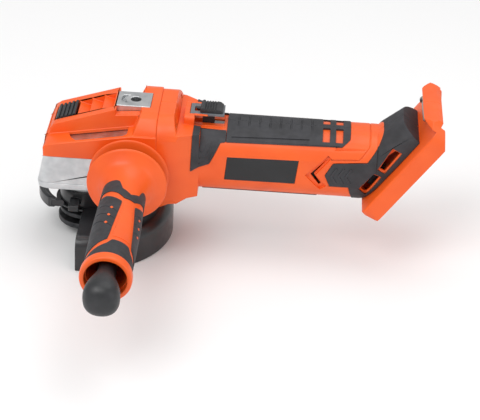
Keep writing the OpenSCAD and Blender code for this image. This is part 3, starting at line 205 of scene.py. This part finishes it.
def finish(slot):
    """The material of a slot, made once: drifting colour, rubbed edges, roughness and relief."""
    spec = FINISHES[slot]
    material = bpy.data.materials.get(spec["name"])
    if material:
        return material
    material = bpy.data.materials.new(spec["name"])
    material.use_nodes = True
    tree = material.node_tree
    tree.nodes.clear()
    place = add(tree, "ShaderNodeTexCoord").outputs["Object"]
    looks = bpy.context.scene.grinder_looks

    colours = {"orange_plastic": looks.plastic, "black_rubber": looks.rubber}
    base = (*colours.get(slot, linear(spec["colour"])), 1)
    cloud = height_pattern(tree, place, "noise", spec["drift"], (1, 1, 1))
    spread = add(tree, "ShaderNodeMapRange", None,
                 {"Value": cloud, "From Min": 0.35, "From Max": 0.65})
    drifted = add(tree, "ShaderNodeMix", {"data_type": "RGBA"},
                  {0: spread.outputs[0], 6: base, 7: (*linear(spec["mottle"]), 1)})

    # rubbed edges: where a rounded normal leans away from the flat one, broken up by grain
    rounded = add(tree, "ShaderNodeBevel", {"samples": 4}, {"Radius": looks.rub_width})
    flat = add(tree, "ShaderNodeNewGeometry").outputs["Normal"]
    lean = add(tree, "ShaderNodeVectorMath", {"operation": "DOT_PRODUCT"},
               {0: rounded.outputs[0], 1: flat}).outputs["Value"]
    rub = add(tree, "ShaderNodeMapRange", None,
              {"Value": lean, "From Min": 0.985, "From Max": 0.80}).outputs[0]
    scuff = height_pattern(tree, place, "noise", 1.6, (1, 1, 1))
    amount = add(tree, "ShaderNodeMath", {"operation": "MULTIPLY"},
                 {0: rub, 1: scuff}).outputs[0]
    share = add(tree, "ShaderNodeMath", {"operation": "MULTIPLY"},
                {0: amount, 1: looks.rub_amount}).outputs[0]
    worn = add(tree, "ShaderNodeMix", {"data_type": "RGBA"},
               {0: share, 6: drifted.outputs[2], 7: (*linear(spec["worn"]), 1)})

    haze = height_pattern(tree, place, "noise", spec["drift"] / 3, (1, 1, 1))
    low, high = spec["rough"]
    rough = add(tree, "ShaderNodeMapRange", None,
                {"Value": haze, "From Min": 0.3, "From Max": 0.7, "To Min": low, "To Max": high})

    normal = None
    for pattern, size, depth, stretch in spec["relief"]:
        height = height_pattern(tree, place, pattern, size, stretch)
        inputs = {"Height": height, "Distance": depth * MM, "Strength": 1.0}
        if normal:
            inputs["Normal"] = normal
        normal = add(tree, "ShaderNodeBump", None, inputs).outputs[0]

    shader = add(tree, "ShaderNodeBsdfPrincipled", None, {
        "Base Color": worn.outputs[2], "Roughness": rough.outputs[0], "Normal": normal,
        "Metallic": spec.get("metal", 0.0), "Coat Weight": spec.get("coat", 0.0),
        "Coat Roughness": 0.2})
    add(tree, "ShaderNodeOutputMaterial", None, {"Surface": shader.outputs[0]})
    return material


# ---------- making pieces ----------

def piece_from(bm, name, smooth_below=None):
    """Turns a bmesh into an object, smooth all over, or sharp above an angle in degrees."""
    mesh = bpy.data.meshes.new(name)
    bm.to_mesh(mesh)
    bm.free()
    mesh.polygons.foreach_set("use_smooth", [True] * len(mesh.polygons))
    if smooth_below is not None:
        mesh.set_sharp_from_angle(angle=radians(smooth_below))
    piece = bpy.data.objects.new(name, mesh)
    bpy.context.scene.collection.objects.link(piece)
    return piece


def soften(piece, width, segments=2, angle=30):
    """Rounds the piece's edges; width in mm."""
    edge = piece.modifiers.new("soft_edges", "BEVEL")
    edge.width = width * MM
    edge.segments = segments
    edge.limit_method = "ANGLE"
    edge.angle_limit = radians(angle)
    edge.use_clamp_overlap = False
    even = piece.modifiers.new("even_shading", "WEIGHTED_NORMAL")
    even.mode = "FACE_AREA"
    even.weight = 50
    even.keep_sharp = False
    return piece


def place_piece(piece, body, slot, *nodes):
    """Gives a piece its finish, its body and the CAD nodes it stands for."""
    piece.data.materials.clear()
    piece.data.materials.append(finish(slot))
    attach(piece, body)
    if nodes:
        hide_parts(*nodes)
    return piece


def welded(node):
    """A bmesh of a CAD node with its loose triangles joined."""
    bm = bmesh.new()
    bm.from_mesh(frame["nodes"][node].data)
    bmesh.ops.remove_doubles(bm, verts=bm.verts, dist=CAD_WELD)
    return bm


def refined(node, width, segments=2, angle=30):
    """A CAD node's own shape with its edges rounded."""
    piece = piece_from(welded(node), node + "_finished")
    soften(piece, width, segments, angle)
    return place_piece(piece, BODY_OF[node], SLOT_OF[node], node)


def painted(*nodes):
    """CAD nodes that keep their shape and get their finish."""
    for node in nodes:
        item = frame["nodes"][node]
        item.data.materials.clear()
        item.data.materials.append(finish(SLOT_OF[node]))


def spun(profile, origin, axis, steps=96, closed=True):
    """A turned shape from (radius, height) points in mm; an open profile ends on the axis."""
    bm = bmesh.new()
    side = axis.orthogonal().normalized()
    verts = [bm.verts.new((origin + side * r + axis * h) * MM) for r, h in profile]
    pairs = zip(verts, verts[1:] + verts[:1] if closed else verts[1:])
    edges = [bm.edges.new(pair) for pair in pairs]
    bmesh.ops.spin(bm, geom=verts + edges, cent=origin * MM, axis=axis, dvec=(0, 0, 0),
                   angle=2 * pi, steps=steps, use_merge=True)
    bmesh.ops.remove_doubles(bm, verts=bm.verts, dist=SPUN_WELD)
    bmesh.ops.recalc_face_normals(bm, faces=bm.faces)
    return bm


def rounded_profile(points, rounds=2, closed=True):
    """Cuts the corners of a profile twice over, so that it flows."""
    for _ in range(rounds):
        count = len(points)
        cut = []
        for i in range(count if closed else count - 1):
            a, b = points[i], points[(i + 1) % count]
            cut += [tuple(p + (q - p) * t for p, q in zip(a, b)) for t in (0.22, 0.78)]
        points = cut if closed else [points[0]] + cut[1:-1] + [points[-1]]
    return points


def thicken(bm, faces, move):
    """Raises a patch of faces into a closed solid; move gives each raised vertex's new place."""
    made = bmesh.ops.extrude_face_region(bm, geom=list(faces), use_keep_orig=True)
    raised = [item for item in made["geom"] if isinstance(item, bmesh.types.BMVert)]
    for vert in raised:
        vert.co = move(vert.co)


def outline_plate(bm, outline, y, depth):
    """A flat plate from an (x, z) outline in mm, standing from y by depth along Y."""
    face = bm.faces.new([bm.verts.new(Vector((x, y, z)) * MM) for x, z in outline])
    thicken(bm, [face], lambda co: co + Vector((0, depth * MM, 0)))


def stroke(points, width):
    """The outline of a line of that width through (x, z) points."""
    left, right = [], []
    for i, (x, z) in enumerate(points):
        before, after = points[max(i - 1, 0)], points[min(i + 1, len(points) - 1)]
        dx, dz = after[0] - before[0], after[1] - before[1]
        size = hypot(dx, dz)
        nx, nz = -dz / size * width / 2, dx / size * width / 2
        left.append((x + nx, z + nz))
        right.append((x - nx, z - nz))
    return left + right[::-1]


def loft(bm, rings, corner=1.0, count=24):
    """Bridges rings, each a matrix from the unit circle, and closes both ends."""
    loops = []
    for matrix in rings:
        made = bmesh.ops.create_circle(bm, cap_ends=False, segments=count, radius=1.0)["verts"]
        for vert in made:
            x, y = (abs(c) ** corner * (1 if c >= 0 else -1) for c in vert.co.xy)
            vert.co = matrix @ Vector((x, y, 0))
        loops.append(list({edge for vert in made for edge in vert.link_edges}))
    for low, high in zip(loops, loops[1:]):
        bmesh.ops.bridge_loops(bm, edges=low + high)
    for end in (loops[0], loops[-1]):
        bmesh.ops.edgeloop_fill(bm, edges=end)
    bmesh.ops.recalc_face_normals(bm, faces=bm.faces)


def bead(bm, path, radius, count=8):
    """A round bead through points in mm."""
    rings = []
    for i, point in enumerate(path):
        along = path[min(i + 1, len(path) - 1)] - path[max(i - 1, 0)]
        turn = along.to_track_quat("Z", "Y").to_matrix().to_4x4()
        rings.append(Matrix.Translation(point * MM) @ turn @ Matrix.Scale(radius * MM, 4))
    loft(bm, rings, count=count)


# ---------- sizes the pieces share with the CAD, in mm ----------

AXIS_Z = 57.5
HANDLE = Vector((38, -35, AXIS_Z))
OUTWARD = Vector((0, -1, 0))
FLANGE_R = 30.3
# the grip's section: half its width, its middle height, half its height, its corner radius
FLANK_Y = 26.5
FLANK_MID = 57.5
FLANK_HALF = 27
FLANK_CORNER = 21


def flank_y(z, proud):
    """How far out the grip's rounded side stands at a height, plus proud; both in mm."""
    off = abs(z - FLANK_MID) - (FLANK_HALF - FLANK_CORNER)
    if off <= 0:
        return FLANK_Y + proud
    reach = FLANK_CORNER + proud
    return FLANK_Y - FLANK_CORNER + max(reach ** 2 - off ** 2, 0) ** 0.5


class GrinderLooks(bpy.types.PropertyGroup):
    """Colours and wear of the finishes."""
    plastic: FloatVectorProperty(
        name="Plastic", description="Colour of the moulded housing and handle",
        subtype="COLOR", size=3, min=0, max=1, default=linear(FINISHES["orange_plastic"]["colour"]))
    rubber: FloatVectorProperty(
        name="Rubber", description="Colour of the soft grip areas",
        subtype="COLOR", size=3, min=0, max=1, default=linear(FINISHES["black_rubber"]["colour"]))
    rub_width: FloatProperty(
        name="Rubbed edge width", description="How far in from an edge the wear reaches",
        default=0.7 * MM, min=0, max=3 * MM, unit="LENGTH")
    rub_amount: FloatProperty(
        name="Rubbed edge strength", description="How much of the worn colour shows on edges",
        default=0.75, min=0, max=1, subtype="FACTOR")


class GrinderSizes(bpy.types.PropertyGroup):
    """Sizes of the details that the pieces add."""
    housing_edge: FloatProperty(
        name="Housing edge", description="Radius on the housing's moulded edges",
        default=0.5 * MM, min=0, max=2 * MM, unit="LENGTH")
    rubber_edge: FloatProperty(
        name="Rubber edge", description="Radius on the edges of the soft grips",
        default=0.4 * MM, min=0, max=1 * MM, unit="LENGTH")
    cast_edge: FloatProperty(
        name="Casting edge", description="Radius on the gear case's edges",
        default=0.6 * MM, min=0, max=2 * MM, unit="LENGTH")
    thread_pitch: FloatProperty(
        name="Thread pitch", description="Pitch of the spindle's thread",
        default=2 * MM, min=1 * MM, max=4 * MM, unit="LENGTH")
    handle_steps: IntProperty(
        name="Handle steps", description="Facets round the side handle",
        default=96, min=24, max=256)


class GrinderStage(bpy.types.PropertyGroup):
    """Camera and light."""
    turn: FloatProperty(name="Turn", description="Camera angle round the tool",
                        default=radians(1.72), subtype="ANGLE")
    tilt: FloatProperty(name="Tilt", description="Camera angle above the floor",
                        default=radians(31.09), subtype="ANGLE")
    roll: FloatProperty(name="Roll", description="How far the picture leans clockwise",
                        default=radians(3.03), subtype="ANGLE")
    distance: FloatProperty(name="Distance", description="Camera distance from its aim",
                            default=1.3, min=0.3, max=5, unit="LENGTH")
    lens: FloatProperty(name="Lens", description="Focal length in millimetres",
                        default=132, min=20, max=400)


# ---------- one operator for each group of pieces ----------

# From the middle of the box to the point the camera looks at, in mm
AIM_SHIFT = Vector((6, 0, 4))
# name, place from the middle of the box and size in metres, power in watts
LAMPS = (("key_softbox", (-0.5, -0.7, 1.1), 0.8, 9),
         ("top_softbox", (0.3, 0.3, 1.3), 1.0, 6),
         ("fill_softbox", (1.1, -0.7, 0.5), 0.8, 2.5))
SKY_STRENGTH = 0.62
FLOOR_GAP = 0.5


class GRINDER_OT_stage(bpy.types.Operator):
    """Floor, soft light and camera"""
    bl_idname = "grinder.stage"
    bl_label = "Stage"

    def execute(self, context):
        stage = context.scene.grinder_stage
        low, high = cad_box
        middle = (low + high) / 2

        bm = bmesh.new()
        bmesh.ops.create_grid(bm, x_segments=4, y_segments=4, size=6)
        bmesh.ops.translate(bm, verts=bm.verts, vec=(middle.x, middle.y, low.z - FLOOR_GAP * MM))
        floor = piece_from(bm, "floor")
        material = bpy.data.materials.new("paper_sweep_white_matt")
        material.use_nodes = True
        tree = material.node_tree
        tree.nodes.clear()
        place = add(tree, "ShaderNodeTexCoord").outputs["Object"]
        cloud = height_pattern(tree, place, "noise", 900, (1, 1, 1))
        tone = add(tree, "ShaderNodeMix", {"data_type": "RGBA"}, {
            0: cloud, 6: (*linear("#f6f6f6"), 1), 7: (*linear("#f0f0f0"), 1)})
        shader = add(tree, "ShaderNodeBsdfPrincipled", None,
                     {"Base Color": tone.outputs[2], "Roughness": 0.9})
        add(tree, "ShaderNodeOutputMaterial", None, {"Surface": shader.outputs[0]})
        floor.data.materials.append(material)

        context.scene.view_settings.view_transform = "Standard"
        world = context.scene.world or bpy.data.worlds.new("studio")
        context.scene.world = world
        world.use_nodes = True
        world.node_tree.nodes.clear()
        sky = add(world.node_tree, "ShaderNodeBackground", None,
                  {"Color": (1, 1, 1, 1), "Strength": SKY_STRENGTH})
        add(world.node_tree, "ShaderNodeOutputWorld", None, {"Surface": sky.outputs[0]})

        for name, spot, size, power in LAMPS:
            lamp = bpy.data.lights.new(name, "AREA")
            lamp.size = size
            lamp.energy = power
            holder = bpy.data.objects.new(name, lamp)
            holder.location = middle + Vector(spot)
            holder.rotation_euler = (-Vector(spot)).to_track_quat("-Z", "Y").to_euler()
            context.scene.collection.objects.link(holder)

        turn, tilt, roll = stage.turn, stage.tilt, stage.roll
        back = Vector((sin(turn) * cos(tilt), -cos(turn) * cos(tilt), sin(tilt)))
        level = Vector((cos(turn), sin(turn), 0))
        rise = back.cross(level)
        right = level * cos(roll) + rise * sin(roll)
        top = rise * cos(roll) - level * sin(roll)
        aim = middle + AIM_SHIFT * MM
        camera = bpy.data.cameras.new("camera")
        camera.lens = stage.lens
        camera.clip_end = 20
        eye = bpy.data.objects.new("camera", camera)
        eye.matrix_world = Matrix.Translation(aim + back * stage.distance) @ Matrix(
            (right, top, back)).transposed().to_4x4()
        context.scene.collection.objects.link(eye)
        context.scene.camera = eye
        return {"FINISHED"}


class GRINDER_OT_gear_head(bpy.types.Operator):
    """Gear case, orange cover, bearing cover, screws and lock button"""
    bl_idname = "grinder.gear_head"
    bl_label = "Gear head"

    def execute(self, context):
        sizes = context.scene.grinder_sizes
        refined("gear_case", sizes.cast_edge / MM, 2, 40)
        refined("head_cover", 0.9, 3)
        refined("bearing_cover", sizes.cast_edge / MM, 3)
        refined("head_screws", 0.25)
        refined("bearing_cover_screws", 0.3)
        refined("lock_button", 0.45, 3)
        painted("lock_pin", "lock_spring", "dust_ring", "spindle_lower_bearing",
                "spindle_upper_bearing")
        return {"FINISHED"}


class GRINDER_OT_spindle(bpy.types.Operator):
    """Threaded spindle, its flange, clamp nut and crown gear"""
    bl_idname = "grinder.spindle"
    bl_label = "Spindle"

    def execute(self, context):
        pitch = context.scene.grinder_sizes.thread_pitch / MM
        tip, shoulder, root, crest = -14, 5.5, 6.0, 6.85
        core = [(0, tip), (4.6, tip), (root - 0.2, tip + 1.1), (root, tip + 1.6), (root, shoulder),
                (crest, 6.2), (crest, 7), (9, 7), (9, 12.9), (6, 13), (6, 52), (4, 52.4),
                (4, 65.2), (3.6, 65.5), (0, 65.5)]
        bm = spun(core, Vector((0, 0, 0)), UP, closed=False)
        steps = 48
        turns = (shoulder - tip - 2.6) / pitch
        start = tip + 1.3
        ridge = [(root - 0.3, -0.8), (crest, -0.12), (crest, 0.12), (root - 0.3, 0.8)]
        verts = [bm.verts.new(Vector((r, 0, start + z)) * MM) for r, z in ridge]
        edges = [bm.edges.new(pair) for pair in zip(verts, verts[1:] + verts[:1])]
        made = bmesh.ops.spin(bm, geom=verts + edges, cent=(0, 0, 0), axis=UP,
                              dvec=(0, 0, pitch * MM / steps), angle=2 * pi * turns,
                              steps=round(steps * turns), use_merge=False)
        last = [item for item in made["geom_last"] if isinstance(item, bmesh.types.BMEdge)]
        bmesh.ops.edgeloop_fill(bm, edges=edges)
        bmesh.ops.edgeloop_fill(bm, edges=last)
        bmesh.ops.recalc_face_normals(bm, faces=bm.faces)
        place_piece(piece_from(bm, "spindle_threaded", 40), "spindle", "bright_steel", "spindle")
        refined("inner_flange", 0.35)
        refined("clamp_nut", 0.5, 3)
        painted("crown_gear")
        return {"FINISHED"}


class GRINDER_OT_guard(bpy.types.Operator):
    """Guard, its clamp band, quick lever, pin and bolt"""
    bl_idname = "grinder.guard"
    bl_label = "Guard"

    def execute(self, context):
        refined("guard", 0.3, 2, 40)
        refined("guard_band", 0.5)
        refined("clamp_lever", 0.9, 3)
        refined("lever_pin", 0.3)
        refined("band_bolt", 0.3)
        return {"FINISHED"}


class GRINDER_OT_motor(bpy.types.Operator):
    """Motor and fan inside the housing"""
    bl_idname = "grinder.motor"
    bl_label = "Motor"

    def execute(self, context):
        painted("rotor_shaft", "pinion", "armature", "commutator", "fan", "rotor_front_bearing",
                "rotor_rear_bearing", "motor_can", "motor_magnets", "motor_end_cap", "brushes",
                "brush_holders")
        return {"FINISHED"}


class GRINDER_OT_housing(bpy.types.Operator):
    """The two housing halves, their screws and the side plates"""
    bl_idname = "grinder.housing"
    bl_label = "Housing"

    def execute(self, context):
        edge = context.scene.grinder_sizes.housing_edge / MM
        refined("housing_left", edge, 2)
        refined("housing_right", edge, 2)
        refined("housing_screws", 0.25)
        for side in ("left", "right"):
            refined("label_" + side, 0.3)
        return {"FINISHED"}


# Arrows raised on the neck rubbers: their places along X, the points of one as (x, z) from
# its place, and its line's width, its back's lift off the grip and its height, in mm
ARROW_PLACES = (189.5, 195, 200.5)
ARROW = ((4.6, 51), (1, 57.3), (5, 64))
ARROW_WIDTH = 1.8
ARROW_LIFT = 0.3
ARROW_HEIGHT = 0.9
# Lines moulded on the side grips, as (x, z) in mm, with their lift and radius
SIDE_LINES = (
    [(89, 60), (97.5, 64), (103.5, 79.5)],
    [(89.5, 65), (95, 67.5), (100.5, 81.5)],
    [(90, 70), (93, 71.5), (97, 83)],
)
LINE_LIFT = 0.45
LINE_RADIUS = 0.55


class GRINDER_OT_soft_grips(bpy.types.Operator):
    """Rubber over the grip, flanks, neck and belly, with its raised marks"""
    bl_idname = "grinder.soft_grips"
    bl_label = "Soft grips"

    def execute(self, context):
        edge = context.scene.grinder_sizes.rubber_edge / MM
        refined("grip_rubber", edge)
        refined("belly_rubber", edge)
        for side, sign in (("left", -1), ("right", 1)):
            refined("side_rubber_" + side, edge)
            refined("neck_rubber_" + side, edge)
            marks = bmesh.new()
            for x in ARROW_PLACES:
                arrow = [(x + off, z) for off, z in ARROW]
                outline_plate(marks, stroke(arrow, ARROW_WIDTH),
                              sign * (FLANK_Y + ARROW_LIFT), sign * ARROW_HEIGHT)
            bmesh.ops.recalc_face_normals(marks, faces=marks.faces)
            piece = soften(piece_from(marks, "neck_arrows_" + side), 0.25)
            place_piece(piece, "tool", "black_rubber")
            lines = bmesh.new()
            for path in SIDE_LINES:
                bead(lines, [Vector((x, sign * flank_y(z, LINE_LIFT), z))
                             for x, z in resampled(path)], LINE_RADIUS)
            place_piece(piece_from(lines, "side_grip_lines_" + side), "tool", "black_rubber")
        return {"FINISHED"}


def resampled(path, step=1.5):
    """Points every step mm along a path of straight runs."""
    out = [path[0]]
    for (x0, z0), (x1, z1) in zip(path, path[1:]):
        count = max(int(hypot(x1 - x0, z1 - z0) / step), 1)
        out += [(x0 + (x1 - x0) * i / count, z0 + (z1 - z0) * i / count)
                for i in range(1, count + 1)]
    return out


class GRINDER_OT_switch(bpy.types.Operator):
    """Sliding power switch, its frame, rod, module and board"""
    bl_idname = "grinder.switch"
    bl_label = "Switch"

    def execute(self, context):
        refined("switch_slider", 0.4, 3)
        refined("switch_bezel", 0.3)
        painted("switch_rod", "switch_module", "control_board")
        return {"FINISHED"}


class GRINDER_OT_battery_mount(bpy.types.Operator):
    """Terminal block and blades in the battery mount"""
    bl_idname = "grinder.battery_mount"
    bl_label = "Battery mount"

    def execute(self, context):
        refined("terminal_block", 0.3)
        refined("terminal_blades", 0.15)
        return {"FINISHED"}


def along(value, table):
    """Reads a table of (place, value) points with straight runs between them."""
    for (x0, y0), (x1, y1) in zip(table, table[1:]):
        if value <= x1:
            return y0 + (y1 - y0) * (value - x0) / (x1 - x0)
    return table[-1][1]


# The handle's pattern repeats every half turn, and mirrors about the middle of each panel.
# Each table gives a distance along the handle in mm for an angle from the panel's middle.
PANEL_MIDDLE = -63
BAND_NEAR = ((0, 42.3), (46, 46.5), (55, 48.8), (66, 59), (90, 65))
BAND_FAR = ((0, 57.2), (35, 61.3), (56, 65.7), (76, 72.3), (90, 72.3))
END_NEAR = ((0, 143), (10, 142.2), (43, 137.5), (58, 135), (68, 130.3), (90, 130.3))
PANEL_NEAR = ((0, 63.4), (26, 66.4), (43, 70.3), (71, 77.3))
PANEL_FAR = ((0, 137), (12, 136.6), (33, 133), (56, 129.5), (57.5, 127), (72, 77))
WINDOW_NEAR = ((0, 79), (11.5, 79), (24, 126))
WINDOW_FAR = ((0, 125.5), (24, 125.5))
GROOVES = (78, 89, 100)
CORE = ((45, 15.6), (60, 15.9), (95, 16.8), (130, 16.7), (148, 16.5))


def panel_angle(phi):
    """Angle from the nearest panel's middle, 0 to 90 degrees."""
    return abs((phi - PANEL_MIDDLE + 90) % 180 - 90)


def on_handle(phi, distance, radius):
    """A point of the handle: phi is 0 at the top and grows towards the battery end."""
    angle = radians(phi)
    out = Vector((sin(angle), 0, cos(angle)))
    return (HANDLE + OUTWARD * distance + out * radius) * MM


def wrapped(bm, start, stop, near, far, lift, height, rows=6, step=3.0):
    """A raised skin on the handle between two angles; near and far give its ends."""
    columns = max(round(abs(stop - start) / step), 1)
    made = bmesh.ops.create_grid(bm, x_segments=columns, y_segments=rows, size=1)["verts"]
    for vert in made:
        phi = start + (stop - start) * (vert.co.x + 1) / 2
        share = (vert.co.y + 1) / 2
        distance = near(phi) + (far(phi) - near(phi)) * share
        vert.co = on_handle(phi, distance, along(distance, CORE) + lift)
    faces = list({face for vert in made for face in vert.link_faces})
    if stop - start >= 360:
        bmesh.ops.remove_doubles(bm, verts=made, dist=WRAP_WELD)

    def raise_up(co):
        local = co / MM - HANDLE
        flat = Vector((local.x, 0, local.z))
        return (HANDLE + Vector((0, local.y, 0)) + flat * (1 + height / flat.length)) * MM

    thicken(bm, faces, raise_up)


class GRINDER_OT_handle(bpy.types.Operator):
    """Side handle: base, damper rings, grip, rubber pattern and end ring"""
    bl_idname = "grinder.handle"
    bl_label = "Side handle"

    def execute(self, context):
        steps = context.scene.grinder_sizes.handle_steps
        rim = FLANGE_R
        base = [(3.4, 4), (10.4, 4), (11, 4.6), (11, 6.6), (12.4, 7.6), (16, 8.2),
                (rim - 4, 10.2), (rim - 1, 10.9), (rim, 11.7), (rim - 0.2, 12.7), (rim - 2, 13.2),
                (20, 14.2), (13.6, 15.3), (3.4, 15.5)]
        bm = spun(rounded_profile(base, 2), HANDLE, OUTWARD, steps)
        place_piece(piece_from(bm, "handle_base_turned", 45), "tool", "orange_plastic",
                    "handle_base")

        ring = [(3.4, 15.6), (14, 15.6), (23.4, 15.9), (24.2, 16.5), (24.2, 17.1), (23.4, 17.6),
                (16, 17.8), (15, 18.5), (16, 19.2), (23.4, 19.4), (24.2, 20), (24.2, 20.6),
                (23.4, 21.1), (14, 21.4), (3.4, 21.4)]
        bm = spun(rounded_profile(ring, 2), HANDLE, OUTWARD, steps)
        place_piece(piece_from(bm, "handle_damper_turned", 60), "tool", "black_rubber",
                    "handle_damper")

        grip = [(3.4, 21.5), (14, 21.5), (rim - 5, 23.6), (rim - 1, 24.3), (rim, 25.2),
                (rim - 0.6, 26.4), (rim - 4, 27.6), (rim - 9, 30.4), (19, 34), (17.1, 39)]
        grip = rounded_profile(grip, 2, closed=False)
        grip += [(r, v) for v, r in CORE] + [(16.5, 148.6), (14.3, 148.6), (14.3, 76), (3.4, 76)]
        bm = spun(grip, HANDLE, OUTWARD, steps)
        grip_piece = piece_from(bm, "handle_grip_turned", 45)
        place_piece(grip_piece, "tool", "orange_plastic", "handle_grip")

        bm = bmesh.new()
        wrapped(bm, 0, 360, lambda p: along(panel_angle(p), BAND_NEAR),
                lambda p: along(panel_angle(p), BAND_FAR), -0.3, 1.05)
        wrapped(bm, 0, 360, lambda p: along(panel_angle(p), END_NEAR), lambda p: 147.9,
                -0.3, 1.05)
        for middle in (PANEL_MIDDLE, PANEL_MIDDLE + 180):
            wrapped(bm, middle - 71, middle + 71, lambda p: along(panel_angle(p), PANEL_NEAR),
                    lambda p: along(panel_angle(p), PANEL_FAR), -0.3, 0.65, 16, 2.5)
            marks = [None, *GROOVES, None]
            for low, high in zip(marks, marks[1:]):
                self.panel_step(bm, middle, low, high)
        bmesh.ops.recalc_face_normals(bm, faces=bm.faces)
        skin = soften(piece_from(bm, "handle_rubber_pattern"), 0.22, 2, 40)
        place_piece(skin, "tool", "black_rubber", "handle_overmould")

        bm = bmesh.new()
        for middle in (PANEL_MIDDLE + 90, PANEL_MIDDLE + 270):
            wrapped(bm, middle - 23, middle + 23,
                    lambda p: along(90 - panel_angle(p), WINDOW_NEAR),
                    lambda p: along(90 - panel_angle(p), WINDOW_FAR), -0.3, 0.7, 16, 2.0)
        for middle in (PANEL_MIDDLE, PANEL_MIDDLE + 180):
            for sign in (-1, 1):
                for i, groove in enumerate(GROOVES):
                    centre = middle + sign * (50 - 3 * i)
                    self.diamond(bm, centre, groove + 9.5 - i, sign)
        bmesh.ops.recalc_face_normals(bm, faces=bm.faces)
        raised = soften(piece_from(bm, "handle_raised_plates"), 0.2, 2, 40)
        place_piece(raised, "tool", "orange_plastic")

        ring = [(14.9, 148), (17.6, 148), (18.3, 148.7), (18.5, 150), (18.5, 154), (18.2, 155.3),
                (17.5, 156), (15.4, 156), (14.9, 155.5)]
        bm = spun(rounded_profile(ring, 2), HANDLE, OUTWARD, steps)
        place_piece(piece_from(bm, "handle_end_ring_turned", 60), "tool", "orange_plastic",
                    "handle_end_ring")
        painted("handle_stud")
        return {"FINISHED"}

    @staticmethod
    def panel_step(bm, middle, low, high):
        """The upper skin of a panel between two bowed grooves."""
        def bowed(phi, groove, side):
            off = phi - middle
            return groove + 0.003 * (off + 8) ** 2 + side * 0.45

        def near(phi):
            edge = along(panel_angle(phi), PANEL_NEAR) + 0.35
            return edge if low is None else max(edge, bowed(phi, low, 1))

        def far(phi):
            edge = along(panel_angle(phi), PANEL_FAR) - 0.35
            return edge if high is None else min(edge, bowed(phi, high, -1))

        reach = [phi / 2 for phi in range(-142, 143)
                 if far(middle + phi / 2) - near(middle + phi / 2) > 1.2]
        wrapped(bm, middle + min(reach), middle + max(reach), near, far, 0.3, 0.45, 8, 2.5)

    @staticmethod
    def diamond(bm, phi, distance, lean):
        """A small raised diamond."""
        def near(p):
            return distance - 1.5 * (1 - abs(p - phi) / 4.4) - 0.05 + lean * (p - phi) * 0.12

        def far(p):
            return distance + 1.5 * (1 - abs(p - phi) / 4.4) + 0.05 + lean * (p - phi) * 0.12

        wrapped(bm, phi - 4.2, phi + 4.2, near, far, 0.5, 0.6, 2, 1.4)


class GRINDER_OT_disc_key(bpy.types.Operator):
    """Disc key stowed in the handle's end"""
    bl_idname = "grinder.disc_key"
    bl_label = "Disc key"

    def execute(self, context):
        # distance along the handle, half size along X and along Z, in mm
        sections = ((90, 5.6, 8.6), (90.6, 6.2, 9.2), (150, 6.4, 9.6), (157, 6.7, 11.8),
                    (162, 8.0, 13.0), (168, 11.2, 13.7), (174, 12.8, 14), (179, 13, 13.6),
                    (183, 11.8, 12), (186, 9.2, 9), (187.3, 5.4, 5.2), (187.5, 2, 2))
        rings = []
        for distance, half_x, half_z in sections:
            spot = (HANDLE + OUTWARD * distance) * MM
            turn = Matrix(((half_x * MM, 0, 0), (0, 0, -1 * MM), (0, half_z * MM, 0))).to_4x4()
            rings.append(Matrix.Translation(spot) @ turn)
        bm = bmesh.new()
        loft(bm, rings, corner=0.86, count=32)
        key = piece_from(bm, "disc_key_moulded")
        smooth = key.modifiers.new("smooth", "SUBSURF")
        smooth.levels = smooth.render_levels = 2
        place_piece(key, "disc_key", "black_plastic", "disc_key")
        return {"FINISHED"}


class GRINDER_PT_pieces(bpy.types.Panel):
    """Lists the grinder's settings and pieces"""
    bl_label = "Angle grinder"
    bl_space_type = "VIEW_3D"
    bl_region_type = "UI"
    bl_category = "Grinder"

    def draw(self, context):
        for name in ("grinder_looks", "grinder_sizes", "grinder_stage"):
            group = getattr(context.scene, name)
            box = self.layout.box()
            for key in group.__annotations__:
                box.prop(group, key)
        for operator in OPERATORS:
            self.layout.operator(operator.bl_idname)


OPERATORS = (GRINDER_OT_stage, GRINDER_OT_gear_head, GRINDER_OT_spindle, GRINDER_OT_guard,
             GRINDER_OT_motor, GRINDER_OT_housing, GRINDER_OT_soft_grips, GRINDER_OT_switch,
             GRINDER_OT_battery_mount, GRINDER_OT_handle, GRINDER_OT_disc_key)
GROUPS = (GrinderLooks, GrinderSizes, GrinderStage)
SCENE_SETTINGS = {"grinder_looks": GrinderLooks, "grinder_sizes": GrinderSizes,
                  "grinder_stage": GrinderStage}


def register():
    for item in GROUPS + OPERATORS + (GRINDER_PT_pieces,):
        bpy.utils.register_class(item)
    for name, group in SCENE_SETTINGS.items():
        setattr(bpy.types.Scene, name, PointerProperty(type=group))


def unregister():
    for name in SCENE_SETTINGS:
        delattr(bpy.types.Scene, name)
    for item in reversed(GROUPS + OPERATORS + (GRINDER_PT_pieces,)):
        bpy.utils.unregister_class(item)


def main():
    register()
    bpy.ops.grinder.stage()
    bpy.ops.grinder.gear_head()
    bpy.ops.grinder.spindle()
    bpy.ops.grinder.guard()
    bpy.ops.grinder.motor()
    bpy.ops.grinder.housing()
    bpy.ops.grinder.soft_grips()
    bpy.ops.grinder.switch()
    bpy.ops.grinder.battery_mount()
    bpy.ops.grinder.handle()
    bpy.ops.grinder.disc_key()


if __name__ == "__main__":
    main()
